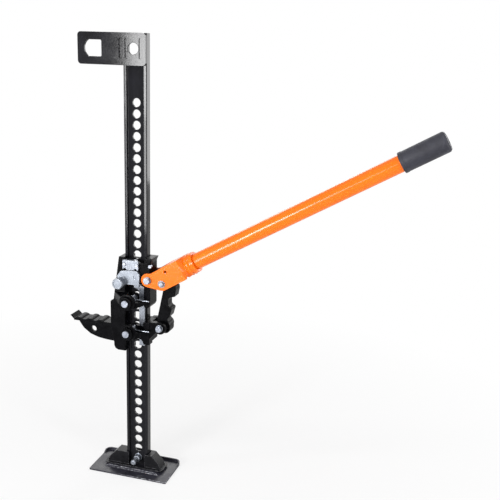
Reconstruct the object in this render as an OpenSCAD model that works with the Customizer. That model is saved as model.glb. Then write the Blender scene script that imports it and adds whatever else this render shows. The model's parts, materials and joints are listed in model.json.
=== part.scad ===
// High lift jack: a holed I-beam bar on a pressed base, with a lifting carriage that climbs it.
// Frame: origin on the floor under the bar's axis, the lifting nose towards -X, the handle towards
// +X, the latch and climbing pins towards -Y, +Z up. Lengths are in millimetres.

/* [Bar] */
// Height of the bar's top above the floor
bar_top_z = 914; // [880:1:1200]
// Width of the bar across its two flanges
bar_w = 48.6; // [47:0.1:49.2]
// Depth of the flanges, front to back
bar_d = 17; // [15:0.1:17.4]
// Thickness of each flange
flange_t = 6; // [5:0.1:7]
// Thickness of the web between the flanges
web_t = 4.6; // [4:0.1:7]
// Radius of the fillets between web and flange
bar_fillet_r = 4; // [2:0.1:5]
// Radius along the flanges' outer edges
bar_edge_r = 1.6; // [0.5:0.1:2.5]
// Diameter of the climbing holes
hole_d = 17; // [14:0.1:18]
// Pitch of the climbing holes
hole_pitch = 21.71; // [21.2:0.01:22.2]
// Number of climbing holes
hole_count = 36; // [20:1:37]
// Height of the lowest hole's centre
first_hole_z = 24.4; // [22:0.1:26]

/* [Base] */
// Length of the base plate
base_w = 178; // [160:1:220]
// Depth of the base plate, front to back
base_d = 91; // [80:1:120]
// Sideways shift of the base plate from the bar's axis, towards the nose
base_shift_x = 6.5; // [0:0.1:12]
// Forward shift of the base plate from the bar's axis
base_shift_y = 3.5; // [0:0.1:6]
// Thickness of the base plate
base_t = 3.5; // [2.5:0.1:5]
// Height of the raised rim along the back edge
rim_h = 9; // [6:0.1:14]
// Height of the raised middle of the base plate
plinth_h = 3; // [2:0.1:5]
// Height of the bar socket above the raised middle
socket_h = 30.5; // [26:0.1:40]
// Thickness of the bar socket's walls
socket_wall = 3.2; // [2:0.1:4]
// Radius of the base pin's shank
base_pin_r = 7; // [5:0.1:7.6]

/* [Top plate] */
// Length of the top plate
top_plate_w = 142; // [120:1:180]
// Height of the top plate
top_plate_h = 60.5; // [56:0.5:80]
// Thickness of the top plate
top_plate_t = 5; // [4:0.1:7]
// Radius of the round hole through the top plate
top_hole_r = 10.8; // [7:0.1:11]
// Radius of the larger hole through the web behind it
web_eye_r = 14.2; // [11:0.1:14.4]
// Height of the D-shaped hole
d_hole_h = 31; // [28:0.5:38]
// Width of the D-shaped hole
d_hole_w = 36.5; // [30:0.5:44]

/* [Carriage] */
// Number of the hole that the upper climbing pin faces, counted up from 0
upper_pin_hole = 17; // [12:1:26]
// Number of holes from the lower climbing pin up to the upper one
pin_gap_holes = 3; // [3:1:3]
// Play between the runners and the bar
runner_play = 0.5; // [0.3:0.05:0.8]
// Distance of the runners' front face from the bar's middle
runner_front = 22; // [21:0.1:24]
// Distance of the runners' back face from the bar's middle
runner_back = 15; // [13:0.1:18]
// Distance of the right wall's outer face from the bar's axis
right_wall_x = 36; // [34:0.1:38]
// Length of the lifting nose, from the bar's axis to its tip
nose_reach = 147; // [130:1:170]
// Width of the lifting nose
nose_w = 34; // [30:0.5:36]
// Radius of the hole through the nose
nose_hole_r = 6.3; // [5:0.1:7]
// Thickness of the web under the nose's top plate
nose_web_t = 8; // [6:0.5:12]

/* [Climbing pins] */
// Radius of the climbing pins
pin_r = 6.2; // [5:0.1:6.5]
// Radius of the climbing pins' heads
pin_head_r = 7.2; // [6.8:0.1:7.6]
// Travel of a climbing pin into the bar
pin_travel = 7; // [6.6:0.1:7.4]
// Radius of the wire of the pin springs
spring_wire_r = 0.8; // [0.5:0.05:0.9]
// Curls in each pin spring
spring_curls = 4; // [3:1:5]

/* [Handle] */
// Angle of the handle above the floor at rest
handle_angle = 30.1; // [25:0.1:35]
// Length of the handle from its pivot to the end of the grip
handle_length = 638; // [600:1:760]
// Outer radius of the handle tube
tube_r = 16; // [14:0.1:17]
// Wall thickness of the handle tube
tube_wall = 2.5; // [1.5:0.1:4]
// Outer radius of the grip
grip_r = 19.5; // [17.5:0.1:22]
// Length of the grip
grip_length = 89; // [70:1:120]
// Distance between the handle pivot and the link bolt
lever_arm = 30.6; // [30:0.1:31]
// Thickness of the steel of the handle socket
cheek_t = 4.4; // [3.5:0.1:5]
// Thickness of the link between handle and small runner
link_t = 23; // [20:0.5:23]

/* [Hidden] */

$fn = 64;

// Finishes
black_paint = [0.06, 0.06, 0.07];
orange_paint = [1.0, 0.42, 0.08];
zinc = [0.78, 0.80, 0.82];
grip_rubber = [0.2, 0.2, 0.22];

// Shared values
cut = 1;
seat_gap = 0.2;
side_gap = 0.3;
slide_gap = 0.5;
bore_play = 0.06;
web_y = web_t / 2;
flange_y = bar_d / 2;
flange_x = bar_w / 2;
channel_x = flange_x - flange_t;
inner_x = flange_x + runner_play;
inner_y = flange_y + runner_play;

// Base
base_x0 = -base_shift_x - base_w / 2;
base_x1 = base_x0 + base_w;
base_y1 = base_d / 2 - base_shift_y;
base_front_r = 3;
base_back_r = 13;
rim_t = 3.2;
rim_run = 22;
plinth_x_share = 0.69;
plinth_y_share = 0.6;
plinth_z = base_t + plinth_h;
plinth_slope = 7;
socket_play = 1.1;
socket_y = flange_y + socket_play + socket_wall;
socket_foot = 7;
socket_foot_t = 2.5;
socket_top_z = plinth_z + socket_h;
socket_shift_x = 6;
socket_bottom_w = 127;
socket_top_w = 82;
socket_slope_mid_share = 0.5;
socket_slope_bow = 3.5;
base_pin_flange_r = 8.9;
base_pin_flange_t = 1.6;
base_pin_collar_r = 7.4;
base_pin_collar_t = 12.5;
base_pin_round = 3.2;
base_pin_neck_r = 4.2;
base_pin_neck = 9;
base_pin_knob_r = 5.9;
base_pin_knob = 7.5;
base_pin_edge = 1.8;
base_pin_tail = 8;
clip_r = 1.2;
clip_inset = 3.5;
clip_ring_r = 6;
clip_reach = 3;

// Top plate
top_plate_x1 = flange_x;
top_plate_x0 = top_plate_x1 - top_plate_w;
top_plate_z0 = bar_top_z - top_plate_h;
top_plate_y0 = -flange_y - top_plate_t;
top_plate_corner_r = 7;
top_hole_drop = 29;
top_hole_z = bar_top_z - top_hole_drop;
top_hole_x = -1.2;
web_eye_x = -4;
d_hole_inset = 14;
d_hole_x0 = top_plate_x0 + d_hole_inset;
d_hole_drop = 30;
d_hole_z = bar_top_z - d_hole_drop;
d_hole_round_r = 17.5;
d_hole_corner_r = 2.5;
groove_w = 6.5;
groove_h = 38;
groove_depth = 2.2;
groove_x_shares = [-1.13, -0.63, 0.56];
bead_leg = 3;
bead_inner_leg = 1.4;
bead_inset = 3;

// Carriage places: distances up or down from the upper or the lower climbing pin
upper_pin_z = first_hole_z + upper_pin_hole * hole_pitch;
lower_pin_z = upper_pin_z - pin_gap_holes * hole_pitch;
pivot_x = 33;
pivot_up = 42.5;
pivot_z = upper_pin_z + pivot_up;
ear_x = 57.8;
ear_up = 7.6;
ear_z = lower_pin_z + ear_up;

// Large runner
wall_top_up = 84.5;
wall_top_z = upper_pin_z + wall_top_up;
wall_top_x = -32;
wall_mid_x = -42;
wall_mid_up = 14.5;
wall_mid_z = upper_pin_z + wall_mid_up;
wall_low_x = -45;
step_down = 9.5;
step_z = upper_pin_z - step_down;
step_x = -52;
step_chamfer = 3;
nose_top_down = 61.2;
nose_top_z = upper_pin_z - nose_top_down;
nose_under_down = 102.5;
nose_under_z = upper_pin_z - nose_under_down;
guide_low_down = 117.5;
guide_low_z = upper_pin_z - guide_low_down;
guide_round_r = 9;
lip_x = 19;
right_low_down = 12;
right_low_z = upper_pin_z - right_low_down;
right_low_slope = 5.5;
right_top_up = 86;
right_top_z = upper_pin_z + right_top_up;
right_flare_up = 75;
right_flare_z = upper_pin_z + right_flare_up;
right_flare = 4.5;
right_back = 13;
right_lip_x = 13;
rod_window_up = 31;
rod_window_z = upper_pin_z + rod_window_up;
strap_low_up = 34;
strap_low_z = upper_pin_z + strap_low_up;
strap_high_up = 78;
strap_high_z = upper_pin_z + strap_high_up;
back_lip_x = 12;
lug_r = 12;
lug_y = 21.8;
boss_r = 12.6;
boss_step_r = 17;
upper_boss_front = 62;
lower_boss_front = 59;
boss_step = 8;
boss_ring_t = 4;
boss_back = 45;
guide_r = 9.3;
guide_front = 14.5;
horn_drop = 15;
horn_tip_h = 5;
horn_t = 8;
horn_tip_y = 20.5;
gusset_h = 19;
gusset_x = 13;
latch_boss_r = 7.5;
screw_x = 35;
screw_dz = 69.5;
screw_r = 3.6;
screw_slot = 1;
screw_depth = 8;
screw_recess = 0.8;

// Nose
nose_front = 20;
nose_back = nose_w - nose_front;
nose_plate_t = 4.3;
nose_tip_h = 6.8;
nose_tip_back = 11;
hump_r = 13;
hump_rise = 3.2;
hump_first_x = -78;
hump_pitch = 24.5;
hump_count = 3;
nose_web_inset = 6;
nose_hole_x = -95.8;
nose_hole_down = 81.5;
nose_hole_z = upper_pin_z - nose_hole_down;
// Underside of the nose: shares of its reach past the bar's axis, and of its depth below the top
nose_under_shares = [
    [0.366, 1], [0.453, 0.984], [0.577, 0.927], [0.7, 0.79], [0.809, 0.52],
    [0.87, 0.23], [0.886, 0.11]];
ledge_x0 = -76;
ledge_w = 24;
ledge_t = 2.4;

// Latch
latch_pivot_x = -15.5;
latch_pivot_up = 41.7;
latch_pivot_z = upper_pin_z + latch_pivot_up;
latch_x1 = 16;
latch_top_up = 59.5;
latch_top_z = upper_pin_z + latch_top_up;
latch_y0 = 29;
latch_t = 6;
latch_swing = 25;
rivet_arm = 22;
rivet_x = latch_pivot_x + rivet_arm * cos(latch_swing / 2);
rivet_z = latch_pivot_z + rivet_arm * sin(latch_swing / 2);
knob_x = -25;
knob_up = 33.5;
knob_z = upper_pin_z + knob_up;
knob_r = 11.3;
knob_y = 46;
knob_rim = 2.6;
knob_dish = 1.2;
latch_pin_r = 3.5;
rivet_r = 3;
rivet_back = 12.6;
rivet_recess = 1.5;
rod_y0 = 17;
rod_t = 4;
rod_x0 = 10;
rod_w = 12;
rod_low_down = 102.5;
rod_low_z = upper_pin_z - rod_low_down;
rod_shoulder_up = 24;
rod_shoulder_z = upper_pin_z + rod_shoulder_up;
rod_head_x = 5;
rod_head_low_up = 20;
rod_head_low_z = upper_pin_z + rod_head_low_up;
rod_neck_up = 14;
rod_neck_z = upper_pin_z + rod_neck_up;
rod_head_r = 6.5;
rod_eye_play = 0.75;
bracket_x0 = -21.5;
bracket_x1 = 13;
bracket_w = bracket_x1 - bracket_x0;
bracket_low_up = 60;
bracket_z0 = upper_pin_z + bracket_low_up;
bracket_h = 20;
bracket_z1 = bracket_z0 + bracket_h;
bracket_t = 5;
bracket_notch_r = 3.6;
bracket_notch_shares = [0.145, 0.81];
bracket_corner_r = 3;
bracket_hook = 6.5;
bracket_hook_t = 3;
bracket_screw_r = 2.6;
bracket_screw_head_r = 4;
bracket_screw_head_t = 1.8;
bracket_screw_shares = [0.115, 0.9];
bracket_screw_x = [for (share = bracket_screw_shares) bracket_x0 + share * bracket_w];
bracket_screw_in = 8;
bracket_screw_z = bracket_z0 + bracket_h * 0.55;
bracket_lip_x = 6;

// Climbing pins, springs and cross pins
head_t = 4;
pin_tip_y = web_y + side_gap;
pin_chamfer = 1.2;
head_edge = 0.8;
cross_pin_y = 30.8;
cross_pin_r = 1.5;
cross_pin_x0 = -10;
cross_pin_x1 = 38;
washer_t = 1.2;
washer_back = cross_pin_y + cross_pin_r + seat_gap;
washer_front = washer_back + washer_t;
washer_r = 9;
spring_r = 7.7;
spring_rings = 8;
spring_sides = 6;
spring_end = 0.15;

// Small runner
small_top_up = 16.7;
small_top_z = lower_pin_z + small_top_up;
small_low_down = 31;
small_low_z = lower_pin_z - small_low_down;
small_front = 26;
small_back = 17;
small_wall_x = 36;
small_plate_down = 15;
small_plate_z0 = lower_pin_z - small_plate_down;
small_plate_t = 8;
small_back_lip_x = 8;
small_back_down = 26;
small_back_z0 = lower_pin_z - small_back_down;
ear_r = 13;
ear_inner = link_t / 2 + side_gap;
ear_outer = 24;
window_r = 10.5;

// Link
link_eye_r = 13;
link_hub_r = 11;
link_slot_reach = 10;
link_slot_up = 1.5;
link_slot_down = 2.5;
link_slot_back = 1.2;

// Handle, in its own axes: s along the tube, h above the pivot
axis_drop = 9.7;
lever_low = 37.8;
lever_tilt = handle_angle - lever_low;
eye_r = 13.8;
cheek_inner = lug_y + slide_gap;
cheek_outer = cheek_inner + cheek_t;
cheek_top_h = 11;
cheek_waist_h = 9.2;
cheek_low_h = -31.8;
cheek_corner_s = 21;
cheek_corner_h = -32.4;
cheek_end_s = 76;
cheek_swell = 0.8;
collar_s0 = 84;
collar_s1 = 103;
collar_r = tube_r + cheek_t + cheek_swell;
collar_bore_r = tube_r + bore_play;
collar_rim_r = 22.4;
collar_rim_w = 4;
collar_rim_step = 7;
spine_s0 = 52;
spare_hole_s = 43.5;
spare_hole_r = 3.5;
tube_s0 = 80;
grip_end_r = 8;
grip_lip_r = 20.1;
grip_lip_w = 5;
tube_end_gap = 6;

// Place of the link's upper eye, and the outline of the link as shares of its length: up from the
// lower eye, and sideways from it
link_top_x = pivot_x + lever_arm * cos(lever_tilt);
link_top_z = pivot_z + lever_arm * sin(lever_tilt);
link_length = link_top_z - ear_z;
link_left_shares = [
    [0, -0.115], [0.1, -0.125], [0.24, -0.092], [0.8, 0.023], [0.9, 0], [1, -0.042]];
link_right_shares = [
    [1.05, 0.125], [0.97, 0.25], [0.92, 0.307], [0.856, 0.315], [0.7, 0.287], [0.678, 0.198],
    [0.647, 0.151], [0.6, 0.138], [0.5, 0.138], [0.46, 0.167], [0.44, 0.214], [0.41, 0.221],
    [0.256, 0.179], [0.183, 0.117], [0.13, 0.146], [0, 0.167]];

// Bolts
bolt_a_r = 4.5;
bolt_b_r = 4.2;
bolt_c_r = 4.4;
head_a_af = 12.8;
head_b_r = 5.3;
head_c_af = 12;
bolt_head_t = 5.5;
nut_t = 7;
nut_chamfer = 1;
bolt_washer_t = 1.6;
bolt_washer_wide = 3.2;
bolt_end = 3;
dome_share = 0.35;
a_seat = cheek_outer + side_gap;
b_seat = cheek_outer;
c_seat = ear_outer;

// A box from one corner to the other
module block(x0, x1, y0, y1, z0, z1) {
    translate([x0, y0, z0]) cube([x1 - x0, y1 - y0, z1 - z0]);
}

// A round rod along Y, at x and z, from y0 to y1
module rod_y(x, z, r, y0, y1) {
    translate([x, y1, z]) rotate([90, 0, 0]) cylinder(r = r, h = y1 - y0);
}

// A cone along Y whose radius goes from r0 at y0 to r1 at y1
module cone_y(x, z, r0, r1, y0, y1) {
    translate([x, y0, z]) rotate([-90, 0, 0]) cylinder(r1 = r0, r2 = r1, h = y1 - y0);
}

// An outline in X and Z, made solid from y0 to y1
module slab_y(y0, y1) {
    translate([0, y1, 0]) rotate([90, 0, 0]) linear_extrude(y1 - y0) children();
}

// A rectangle with round corners, about its centre
module rounded_rect(w, h, r) {
    square([w - 2 * r, h], center = true);
    square([w, h - 2 * r], center = true);
    for (i = [-1, 1], j = [-1, 1])
        translate([i * (w / 2 - r), j * (h / 2 - r)]) circle(r);
}

// A hexagon prism along Y with chamfered far corners at y0
module hex_y(x, z, across_flats, y0, y1, chamfer) {
    corner_r = across_flats / 2 / cos(30);
    face_r = across_flats / 2 - seat_gap;
    intersection() {
        translate([x, y1, z]) rotate([90, 0, 0]) cylinder(r = corner_r, h = y1 - y0, $fn = 6);
        union() {
            cone_y(x, z, face_r, face_r + chamfer * 2, y0, y0 + chamfer);
            rod_y(x, z, face_r + chamfer * 2, y0 + chamfer, y1);
        }
    }
}

// A ring along Y
module washer_y(x, z, r_out, r_in, y0, y1) {
    difference() {
        rod_y(x, z, r_out, y0, y1);
        rod_y(x, z, r_in, y0 - cut, y1 + cut);
    }
}

// Base plate: pressed sheet with a raised middle and a turned-up rim along its back edge
module base_outline(inset) {
    x0 = base_x0 + inset;
    x1 = base_x1 - inset;
    y0 = base_y1 - base_d + inset;
    y1 = base_y1 - inset;
    front_r = max(base_front_r - inset, cut);
    back_r = base_back_r - inset;
    translate([x0 + front_r, y0]) square([x1 - x0 - 2 * front_r, y1 - y0 - back_r]);
    translate([x0, y0 + front_r]) square([x1 - x0, y1 - y0 - front_r - back_r]);
    translate([x0 + back_r, y1 - 2 * back_r]) square([x1 - x0 - 2 * back_r, 2 * back_r]);
    for (x = [x0 + front_r, x1 - front_r]) translate([x, y0 + front_r]) circle(front_r);
    for (x = [x0 + back_r, x1 - back_r]) translate([x, y1 - back_r]) circle(back_r);
}

module base_plate() color(black_paint) {
    half_x = base_w * plinth_x_share / 2;
    half_y = base_d * plinth_y_share / 2;
    linear_extrude(base_t) base_outline(0);
    // The rim rises towards the back
    intersection() {
        linear_extrude(rim_h) difference() {
            base_outline(0);
            base_outline(rim_t);
        }
        translate([base_x0 - cut, 0, 0]) rotate([90, 0, 90]) linear_extrude(base_w + 2 * cut)
            polygon([
                [base_y1 - rim_run, 0], [base_y1 - rim_run, base_t],
                [base_y1 - base_back_r, rim_h], [base_y1 + cut, rim_h], [base_y1 + cut, 0]]);
    }
    // The raised middle has sloping sides
    translate([-base_shift_x, 0, base_t]) intersection() {
        slab_y(-half_y, half_y) polygon([
            [-half_x, -base_t / 2], [half_x, -base_t / 2], [half_x, 0],
            [half_x - plinth_slope, plinth_h], [plinth_slope - half_x, plinth_h], [-half_x, 0]]);
        translate([-half_x, 0, 0]) rotate([90, 0, 90]) linear_extrude(2 * half_x) polygon([
            [-half_y, -base_t / 2], [half_y, -base_t / 2], [half_y, 0],
            [half_y - plinth_h, plinth_h], [plinth_h - half_y, plinth_h], [-half_y, 0]]);
    }
}

// Bar socket: pressed hollow block with sloping ends, a foot flange, and an open front for the pin
module socket_outline(inset, bottom) {
    low = socket_bottom_w / 2 - inset * 2;
    top = socket_top_w / 2 - inset;
    mid = low + (top - low) * socket_slope_mid_share + socket_slope_bow;
    mid_z = plinth_z + socket_h * socket_slope_mid_share;
    translate([-socket_shift_x, 0]) polygon([
        [-low, bottom], [low, bottom], [mid, mid_z],
        [top, socket_top_z - inset], [-top, socket_top_z - inset], [-mid, mid_z]]);
}

module base_socket() color(black_paint) difference() {
    union() {
        slab_y(-socket_y, socket_y) socket_outline(0, plinth_z);
        translate([-socket_shift_x, 0, plinth_z]) linear_extrude(socket_foot_t)
            rounded_rect(socket_bottom_w + socket_foot, 2 * (socket_y + socket_foot), socket_foot);
    }
    slab_y(socket_wall - socket_y, socket_y - socket_wall)
        socket_outline(socket_wall, plinth_z - cut);
    block(-flange_x - socket_play, flange_x + socket_play,
        socket_wall - socket_y, socket_y - socket_wall, plinth_z, socket_top_z + cut);
    // The front wall is open in front of the bar's channel
    block(-channel_x, channel_x, -socket_y - cut, 0, plinth_z + socket_foot_t, socket_top_z + cut);
    rod_y(0, first_hole_z, base_pin_r + seat_gap, 0, socket_y + cut);
}

// Base pin: shank through web and socket, flange against the web, thick collar, and a knob to pull
module base_pin() color(zinc) {
    collar_y = -web_y - seat_gap;
    neck_y = collar_y - base_pin_collar_t;
    knob_y1 = neck_y - base_pin_neck;
    knob_y0 = knob_y1 - base_pin_knob;
    tail_y = socket_y + base_pin_tail;
    difference() {
        union() {
            rod_y(0, first_hole_z, base_pin_r, collar_y, tail_y - base_pin_edge);
            cone_y(0, first_hole_z, base_pin_r, base_pin_r - base_pin_edge,
                tail_y - base_pin_edge, tail_y);
            rod_y(0, first_hole_z, base_pin_flange_r, collar_y - base_pin_flange_t, collar_y);
            rod_y(0, first_hole_z, base_pin_collar_r, neck_y + base_pin_round, collar_y);
            cone_y(0, first_hole_z, base_pin_collar_r - base_pin_round, base_pin_collar_r,
                neck_y, neck_y + base_pin_round);
            rod_y(0, first_hole_z, base_pin_neck_r, knob_y1, neck_y);
            rod_y(0, first_hole_z, base_pin_knob_r, knob_y0 + base_pin_edge, knob_y1 - base_pin_edge);
            cone_y(0, first_hole_z, base_pin_knob_r - base_pin_edge, base_pin_knob_r,
                knob_y0, knob_y0 + base_pin_edge);
            cone_y(0, first_hole_z, base_pin_knob_r, base_pin_neck_r,
                knob_y1 - base_pin_edge, knob_y1);
        }
        translate([-base_pin_r - cut, tail_y - clip_inset, first_hole_z]) rotate([0, 90, 0])
            cylinder(r = clip_r + seat_gap, h = 2 * (base_pin_r + cut));
    }
}

// Ring clip: a straight leg through the base pin's tail, closed by a ring beside it
module base_pin_clip() color(zinc) {
    clip_y = socket_y + base_pin_tail - clip_inset;
    leg_x = base_pin_r + clip_reach;
    translate([-leg_x, clip_y, first_hole_z]) rotate([0, 90, 0])
        cylinder(r = clip_r, h = 2 * leg_x);
    translate([-leg_x - clip_ring_r, clip_y, first_hole_z]) rotate([90, 0, 0]) rotate_extrude()
        translate([clip_ring_r, 0]) circle(clip_r);
}

// Standard bar: I-beam with a row of holes through its web
module standard_bar() color(black_paint) difference() {
    translate([0, 0, plinth_z]) linear_extrude(bar_top_z - plinth_z) difference() {
        rounded_rect(bar_w, bar_d, bar_edge_r);
        for (side = [-1, 1]) translate([0, side * flange_y])
            rounded_rect(2 * channel_x, bar_d - web_t, bar_fillet_r);
    }
    for (k = [0 : hole_count - 1])
        rod_y(0, first_hole_z + k * hole_pitch, hole_d / 2, -web_t, web_t);
    rod_y(web_eye_x, top_hole_z, web_eye_r, -flange_y - cut, flange_y + cut);
}

// Top plate: flat clamp plate across the bar's front, with a D-shaped hole and pressed grooves
module top_plate() color(black_paint) {
    mid_x = (top_plate_x0 + top_plate_x1) / 2;
    mid_z = (top_plate_z0 + bar_top_z) / 2;
    difference() {
        slab_y(top_plate_y0, -flange_y) translate([mid_x, mid_z])
            rounded_rect(top_plate_w, top_plate_h, top_plate_corner_r);
        slab_y(top_plate_y0 - cut, -flange_y + cut) intersection() {
            translate([d_hole_x0 + d_hole_w / 2, d_hole_z])
                rounded_rect(d_hole_w, d_hole_h, d_hole_corner_r);
            union() {
                translate([d_hole_x0 + d_hole_round_r, d_hole_z]) circle(d_hole_round_r);
                translate([d_hole_x0 + d_hole_round_r, d_hole_z - d_hole_h / 2])
                    square([d_hole_w, d_hole_h]);
            }
        }
        rod_y(top_hole_x, top_hole_z, top_hole_r, top_plate_y0 - cut, -flange_y + cut);
        for (share = groove_x_shares)
            slab_y(top_plate_y0 - cut, top_plate_y0 + groove_depth)
                translate([share * flange_x, top_hole_z])
                rounded_rect(groove_w, groove_h, groove_w / 2 - seat_gap);
    }
}

// Weld beads that hold the top plate to the bar's flanges
module top_plate_welds() color(black_paint) {
    z0 = top_plate_z0 + bead_inset;
    bead_h = top_plate_h - 2 * bead_inset;
    translate([-flange_x, -flange_y, z0]) linear_extrude(bead_h)
        polygon([[0, 0], [-bead_leg, 0], [0, bead_leg]]);
    for (side = [-1, 1])
        translate([side * channel_x, -flange_y, z0]) linear_extrude(bead_h)
            polygon([[0, 0], [-side * bead_leg, 0], [0, bead_inner_leg]]);
}

// Nose outline: top plate with a raised tip, and the curved web under it
module nose_outline() {
    depth = nose_top_z - nose_under_z;
    polygon(concat(
        [[-inner_x, nose_top_z], [-nose_reach + nose_tip_back * 1.6, nose_top_z]],
        [for (i = [len(nose_under_shares) - 1 : -1 : 0])
            [-nose_reach * nose_under_shares[i][0], nose_top_z - depth * nose_under_shares[i][1]]],
        [[-inner_x, nose_under_z]]));
}

module nose_top_outline() {
    polygon([
        [wall_low_x, nose_top_z], [wall_low_x, nose_top_z - nose_plate_t],
        [nose_tip_back - nose_reach, nose_top_z - nose_plate_t],
        [-nose_reach, nose_top_z + nose_tip_h * 0.85],
        [-nose_reach + nose_tip_back * 0.25, nose_top_z + nose_tip_h],
        [-nose_reach + nose_tip_back * 0.9, nose_top_z]]);
}

module nose() {
    difference() {
        union() {
            slab_y(nose_web_inset - nose_front, nose_web_inset - nose_front + nose_web_t)
                nose_outline();
            slab_y(-nose_front, nose_back) nose_top_outline();
            for (i = [0 : hump_count - 1])
                intersection() {
                    rod_y(hump_first_x - i * hump_pitch, nose_top_z + hump_rise - hump_r, hump_r,
                        -nose_front, nose_back);
                    block(-nose_reach, 0, -nose_w, nose_w,
                        nose_top_z - nose_plate_t, nose_top_z + hump_rise);
                }
            block(ledge_x0, ledge_x0 + ledge_w, -nose_front, nose_back,
                nose_top_z - nose_plate_t - ledge_t, nose_top_z - nose_plate_t);
        }
        rod_y(nose_hole_x, nose_hole_z, nose_hole_r, -nose_w, nose_w);
    }
}

// Left wall of the large runner, with the nose root block and the lower guide
module left_wall_outline(inner) {
    polygon([
        [inner, wall_top_z], [wall_top_x, wall_top_z],
        [wall_mid_x, wall_mid_z], [wall_low_x, step_z + cut],
        [wall_low_x, step_z], [step_x + step_chamfer, step_z], [step_x, step_z - step_chamfer],
        [step_x, nose_top_z - nose_plate_t], [wall_low_x, nose_under_z],
        [wall_low_x, guide_low_z + guide_round_r],
        [wall_low_x + guide_round_r / 3, guide_low_z + guide_round_r / 3],
        [wall_low_x + guide_round_r, guide_low_z], [inner, guide_low_z]]);
}

// Right wall of the large runner, flared at its top
module right_wall_outline(inner) {
    polygon([
        [inner, right_top_z], [right_wall_x + right_flare, right_top_z],
        [right_wall_x, right_flare_z], [right_wall_x, right_low_z],
        [right_wall_x - right_low_slope / 2, right_low_z - right_low_slope],
        [inner, right_low_z - right_low_slope]]);
}

// Boss for a climbing pin, open at its back where the spring sits and at its upper right
module pin_boss(z, front) difference() {
    union() {
        rod_y(0, z, boss_r, -front, -boss_back);
        rod_y(0, z, boss_step_r, -front + boss_step, -boss_back);
    }
    block(0, boss_step_r + cut, -front + boss_step + boss_ring_t, -boss_back + cut,
        z, z + boss_step_r + cut);
}

// Bores of a climbing pin's boss: a counterbore for the head, the running bore, the space round
// the spring, and the groove that the cross pin slides in
module pin_bores(z, front) {
    groove_r = cross_pin_r + side_gap;
    rod_y(0, z, pin_head_r + side_gap, -front - cut, -front + pin_travel + side_gap);
    rod_y(0, z, pin_r + bore_play, -front - cut, 0);
    rod_y(0, z, window_r, -boss_back, -guide_front);
    block(cross_pin_x0 - cut, cross_pin_x1 + cut, -cross_pin_y - groove_r,
        pin_travel - cross_pin_y + groove_r, z - groove_r, z + groove_r);
}

// Curved horn from the lower right of a pin boss to a wall on the right, under the cross pin
module horn(z, front, tip_x) {
    top_z = z - cross_pin_r - side_gap;
    intersection() {
        translate([0, 0, z - 2 * horn_drop]) linear_extrude(2 * horn_drop)
            polygon([
                [0, -front + boss_step], [boss_r, -boss_back - horn_t / 2],
                [tip_x, -horn_tip_y - horn_t / 2], [tip_x, -horn_tip_y],
                [right_wall_x - horn_t, -rod_y0 - slide_gap], [boss_r / 2, -boss_back + horn_t],
                [0, -boss_back + horn_t]]);
        slab_y(-front, 0) polygon([
            [0, z - horn_drop], [boss_r, z - horn_drop * 0.95],
            [tip_x * 0.7, z - horn_drop * 0.7], [tip_x, top_z - horn_tip_h], [tip_x, top_z],
            [boss_r, top_z], [0, z]]);
    }
}

// Large runner: casting round the bar with the lifting nose, the upper pin boss and the pivot lug
module large_runner() color(black_paint) {
    difference() {
        union() {
            slab_y(-runner_front, runner_back) left_wall_outline(-inner_x);
            slab_y(-runner_front, -inner_y) left_wall_outline(-lip_x);
            slab_y(inner_y, runner_back) left_wall_outline(-back_lip_x);
            slab_y(-runner_front, right_back) right_wall_outline(inner_x);
            // Front lip on the right, wider above the rod's window
            slab_y(-runner_front, -inner_y) right_wall_outline(rod_x0 + rod_w + slide_gap);
            block(right_lip_x, inner_x, -runner_front, -inner_y, rod_window_z, right_flare_z);
            block(bracket_lip_x, inner_x, -runner_front, -inner_y,
                bracket_z0 + bracket_corner_r, right_flare_z);
            // Straps behind the bar
            block(-inner_x, right_wall_x, inner_y, runner_back, strap_low_z, strap_high_z);
            slab_y(inner_y, right_back) right_wall_outline(back_lip_x);
            // Pivot lug
            rod_y(pivot_x, pivot_z, lug_r, -lug_y, lug_y);
            // Latch boss
            rod_y(latch_pivot_x, latch_pivot_z, latch_boss_r, -runner_front, -inner_y);
            block(-inner_x, latch_pivot_x, -runner_front, -inner_y,
                latch_pivot_z - latch_boss_r, latch_pivot_z + latch_boss_r);
            // Upper pin boss, its gusset and horn, and the guide next to the bar
            pin_boss(upper_pin_z, upper_boss_front);
            horn(upper_pin_z, upper_boss_front, right_wall_x);
            translate([0, 0, upper_pin_z - gusset_h / 2]) linear_extrude(gusset_h) polygon([
                [wall_mid_x, -runner_front], [-boss_r, -upper_boss_front + boss_step],
                [0, -upper_boss_front + boss_step], [0, -boss_back],
                [-gusset_x, -boss_back], [-gusset_x, -guide_front],
                [-lip_x, -guide_front], [wall_mid_x, -guide_front]]);
            rod_y(0, upper_pin_z, guide_r, -guide_front, -inner_y);
            block(-lip_x, 0, -guide_front, -inner_y,
                upper_pin_z - guide_r / 2, upper_pin_z + guide_r / 2);
            nose();
        }
        pin_bores(upper_pin_z, upper_boss_front);
        rod_y(pivot_x, pivot_z, bolt_a_r + bore_play, -lug_y - cut, lug_y + cut);
        rod_y(latch_pivot_x, latch_pivot_z, latch_pin_r + bore_play, -runner_front - cut, 0);
        rod_y(screw_x, upper_pin_z + screw_dz, screw_r + seat_gap,
            -runner_front - cut, -runner_front + screw_depth);
        for (x = bracket_screw_x)
            rod_y(x, bracket_screw_z, bracket_screw_r + bore_play,
                -runner_front - cut, -runner_front + bracket_screw_in);
        block(-inner_x, inner_x, -inner_y, inner_y, guide_low_z - cut, right_top_z + cut);
    }
}

// Slotted screw sunk into the front of the right wall
module runner_screw() color(zinc) difference() {
    rod_y(screw_x, upper_pin_z + screw_dz, screw_r,
        -runner_front + screw_recess, -runner_front + screw_depth - seat_gap);
    block(screw_x - screw_r, screw_x + screw_r, -runner_front, -runner_front + 2 * screw_slot,
        upper_pin_z + screw_dz - screw_slot / 2, upper_pin_z + screw_dz + screw_slot / 2);
}

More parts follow.
